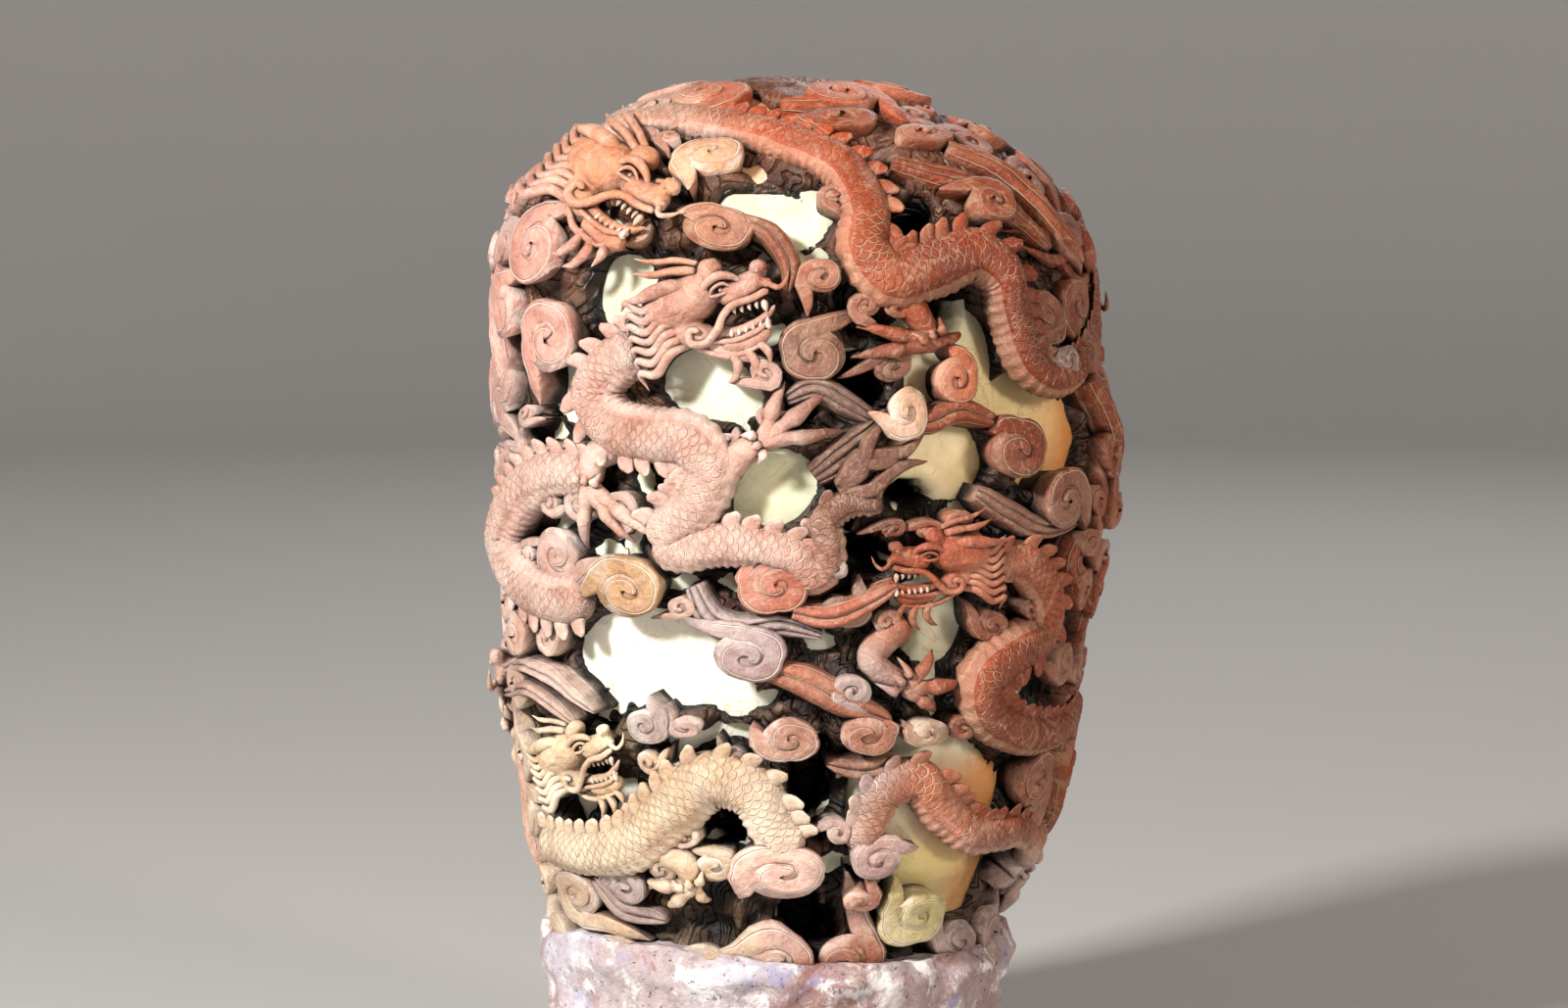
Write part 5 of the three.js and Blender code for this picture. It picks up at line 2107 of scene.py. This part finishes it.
    def back_windows(self, points: Array) -> Array:
        """Return how far inside the windows of the sides and the back places lie.

        Args:
            points: places, one a row, in mm.

        Returns:
            One value for each place, from 0 outside to 1 inside.
        """
        result = np.zeros(len(points))
        for opening in BACK_WINDOWS:
            middle = STONE.on_skin([opening.bearing], [opening.height])[0]
            spot = Spot.over(middle)
            aside = (points - middle) @ spot.across / opening.wide
            above = (points - middle) @ spot.up / opening.high
            same_side = (points - middle) @ STONE.outward(middle[None])[0] > -30
            result = np.maximum(result, (1 - smoothstep(0.8, 1, np.hypot(aside, above))) * same_side)
        return result

    def ground(self) -> Stock:
        """Return the ground of the carving, with its windows and hollows.

        Returns:
            The ground.
        """
        front = np.arange(-self.front_edge, self.front_edge, self.front_step)
        behind = np.arange(self.front_edge, 360 - self.front_edge, self.back_step)
        nodes = np.concatenate(self.lines)
        places = np.array([place for place, _ in self.spots])
        radii = np.array([radius for _, radius in self.spots])

        def depths(points: Array) -> Array:
            """Return the ground's depth at places on the skin.

            Args:
                points: places, one a row, in mm.

            Returns:
                One depth for each place.
            """
            seen = STONE.to_drawing(points)
            facing = smoothstep(30, 10, points[:, 1])
            seen = seen + 1.8 * np.stack([cell_noise(points, 18, 5), cell_noise(points, 18, 6)], axis=1)
            window = inside(seen, WINDOWS, 4) * facing
            hollow = inside(seen, HOLLOWS, 4) * facing
            near = np.array([np.linalg.norm(nodes - p, axis=1).min() for p in points])
            beside = np.array([(np.linalg.norm(places - p, axis=1) - radii).min() for p in points])
            moat = 8 * np.exp(-(((near - 17) / 4) ** 2)) + 4.5 * np.exp(-(((beside - 1.5) / 2.5) ** 2))
            moat *= 0.75 + 0.5 * cell_noise(points, 20, 77)
            window = np.maximum(window, self.back_windows(points))
            base = self.ground_depth - 3.5 * smoothstep(-10, 45, points[:, 1])
            base = base + 1.6 * layered_noise(points, 16, 8) + moat
            base = base * self.top_fill(points[:, 2])
            deep = np.maximum(base, self.window_depth * window)
            return np.maximum(deep, self.hollow_depth * hollow)

        stock = Stock()
        points, faces = self.shell(np.concatenate([front, behind]), self.rows(58, 210), depths)
        # Painted shade: the sunken ground is tinted dark brown.
        stock.add(points, faces, np.array((*srgb(74, 52, 46), 0.8)), kind=Kind.GROUND.value)
        return stock

    def heart(self) -> Stock:
        """Return the smooth heart, in soft facets.

        Returns:
            The heart.
        """
        random = np.random.default_rng(self.seed)
        facets = unit(random.normal(size=(46, 3)) * [1, 1, 0.5])

        def depths(points: Array) -> Array:
            """Return the heart's depth at places on the skin.

            Args:
                points: places, one a row, in mm.

            Returns:
                One depth for each place.
            """
            seen = STONE.to_drawing(points)
            facing = smoothstep(30, 10, points[:, 1])
            hollow = inside(seen, HOLLOWS, 4) * facing
            base = self.heart_depth + 1.2 * layered_noise(points, 60, 14)
            swell = np.hypot((seen[:, 0] - 53) / 34, (seen[:, 1] - 99) / 38)
            base = base - 9 * np.sqrt(np.clip(1 - swell**2, 0, 1)) * facing
            base = base * self.top_fill(points[:, 2])
            return np.maximum(base, (self.hollow_depth + 3) * hollow)

        points, faces = self.shell(np.arange(-180, 180, self.heart_step), self.rows(45, 140), depths)
        middle = np.array([-4, 0, 205])
        for way in facets:
            reach = (points - middle) @ way
            over = np.maximum(reach - (reach.max() - 3.2), 0)
            points = points - way * (over * smoothstep(0, 1.5, over))[:, None]
        stock = Stock()
        stock.add(points, faces)
        return stock

    def foot(self) -> Stock:
        """Return the rough foot, flat below, with a ledge that falls to the front right.

        Returns:
            The foot.
        """
        bearings = np.arange(-180, 180, 1.6)
        levels = np.concatenate([np.linspace(0, 1, 46), np.full(14, 1.0)])
        insets = np.concatenate([np.full(40, 1.0), np.linspace(1, 0.96, 6), np.linspace(0.95, 0.4, 14)])
        b, level = np.meshgrid(bearings, levels)
        inset = np.repeat(insets, len(bearings))
        b, level = b.ravel(), level.ravel()
        ledge = 71 - 7 * np.maximum(0, np.cos(np.radians(b - 40))) ** 2
        z = level * ledge
        on_it = STONE.on_skin(b, z)
        rough = 3.0 * layered_noise(on_it, 26, 41, 4) + 1.1 * np.abs(layered_noise(on_it, 7, 47, 3))
        rough = rough + 3.4 * np.abs(cell_noise(on_it, 17, 43)) + 1.6 * np.abs(cell_noise(on_it, 8, 44)) - 1
        rough = np.where(z < 0.5, np.maximum(rough, 0), np.maximum(rough, -2.5))
        points = STONE.on_skin(b, z, rough)
        centre, _ = STONE.skin(z)
        points[:, 0] = centre + (points[:, 0] - centre) * inset
        points[:, 1] *= inset
        bumps = 1.6 * layered_noise(points, 15, 52, 4) * (inset < 0.97)
        points[:, 2] = z + bumps
        points[: len(bearings), 2] = 0
        low = np.array([-9.0, 0, 0])
        high = points[-len(bearings) :].mean(axis=0)
        stock = Stock()
        stock.add(np.concatenate([points, [low, high]]), capped_tube(len(levels), len(bearings)))
        return stock

    def build(self) -> None:
        """Build every piece of the carving."""
        skin = CarvedSkin("carved_skin", SKIN_COLOURS_AND_LIGHT)
        heart = PolishedHeart("polished_heart", HEART_COLOURS_AND_LIGHT)
        foot = RoughFoot("rough_foot", FOOT_STAINS)
        bodies, heads = self.dragons()
        clouds = self.clouds()
        back = self.back()
        small = Stock()
        for most, least in self.front_fill:
            self.gaps(np.arange(-96, 97, 6), np.arange(66, 370, 8.5), most, least, 1.5, small)
        for most, least in self.back_fill:
            self.gaps(np.arange(100, 262, 8), np.arange(76, 370, 13), most, least, 2.9, back)
        bodies.build("dragon_bodies", skin, Slot.SKIN)
        heads.build("dragon_heads_and_claws", skin, Slot.SKIN)
        clouds.build("clouds", skin, Slot.SKIN)
        small.build("small_clouds", skin, Slot.SKIN)
        back.build("back_carving", skin, Slot.SKIN)
        self.ground().build("carved_ground", skin, Slot.SKIN)
        self.heart().build("heart", heart, Slot.HEART)
        self.foot().build("foot", foot, Slot.FOOT)


# Studio


@dataclass
class Studio:
    """The floor, the lights and the camera at the photograph's angle."""

    distance: float = 2.0
    elevation: float = math.radians(6)
    target: tuple[float, float, float] = (-0.007, 0.0, 0.220)
    lens: float = 36 * 2 / (1600 * 0.00035)
    # Each light: name, place, length of its side, power and colour.
    lights = (
        ("key", (-1.35, -1.55, 1.35), 0.28, 92, (1.0, 0.97, 0.93)),
        ("fill", (1.5, -1.5, 0.9), 0.4, 24, (1.0, 0.86, 0.72)),
        ("back", (0.5, 1.9, 1.5), 1.0, 10, (1.0, 0.97, 0.94)),
    )

    def floor(self) -> None:
        """Add a plain pale floor that turns up into a round backdrop."""
        bend = np.radians(np.linspace(0, 90, 13))
        reach = np.concatenate([[0.02, 1.5], 2.6 + 0.9 * np.sin(bend), [3.5]])
        height = np.concatenate([[0, 0], 0.9 - 0.9 * np.cos(bend), [3.6]])
        turn = np.radians(np.arange(0, 360, 5))
        rings = np.stack([reach[:, None] * np.cos(turn), reach[:, None] * np.sin(turn),
                          height[:, None] + 0 * turn], axis=-1)
        mesh = bpy.data.meshes.new("floor")
        quads = grid_faces(len(reach), len(turn), True)
        mesh.from_pydata(rings.reshape(-1, 3).tolist(), [], [*quads.tolist(), list(range(len(turn)))])
        mesh.polygons.foreach_set("use_smooth", np.ones(len(mesh.polygons), bool))
        floor = new_object("floor", mesh)
        material = bpy.data.materials.new("pale_floor")
        material.use_nodes = True
        nodes = Nodes(material.node_tree)
        nodes.feed("Base Color", (0.5, 0.49, 0.48, 1))
        nodes.feed("Roughness", 0.8)
        mesh.materials.append(material)

    def lamp(self, name: str, place: tuple[float, float, float], size: float, power: float,
             colour: tuple[float, float, float]) -> None:
        """Add a soft square light that faces the carving.

        Args:
            name: the light's name.
            place: where it stands, in metres.
            size: the length of its side.
            power: its power in watts.
            colour: its colour.
        """
        light = bpy.data.lights.new(name, "AREA")
        light.shape, light.size, light.energy, light.color = "SQUARE", size, power, colour
        lamp = new_object(name, light)
        lamp.location = place
        ahead = Vector(self.target) - Vector(place)
        lamp.rotation_euler = ahead.to_track_quat("-Z", "Y").to_euler()

    def camera(self) -> None:
        """Add the camera."""
        data = bpy.data.cameras.new("camera")
        data.lens, data.sensor_width = self.lens, 36
        camera = new_object("camera", data)
        reach = self.distance
        camera.location = (
            self.target[0],
            self.target[1] - reach * math.cos(self.elevation),
            self.target[2] + reach * math.sin(self.elevation),
        )
        camera.rotation_euler = (math.pi / 2 - self.elevation, 0, 0)
        bpy.context.scene.camera = camera

    def build(self) -> None:
        """Build the studio."""
        self.camera()
        self.floor()
        for light in self.lights:
            self.lamp(*light)
        world = bpy.data.worlds.new("studio")
        world.use_nodes = True
        world.node_tree.nodes["Background"].inputs[0].default_value = (0.9, 0.9, 0.92, 1)
        world.node_tree.nodes["Background"].inputs[1].default_value = 0.09
        bpy.context.scene.world = world
        bpy.context.scene.view_settings.view_transform = "Standard"


def main() -> None:
    """Build the carving and the studio."""
    logging.basicConfig(level=logging.INFO, format="%(message)s")
    Carving().build()
    Studio().build()


if __name__ == "__main__":
    main()
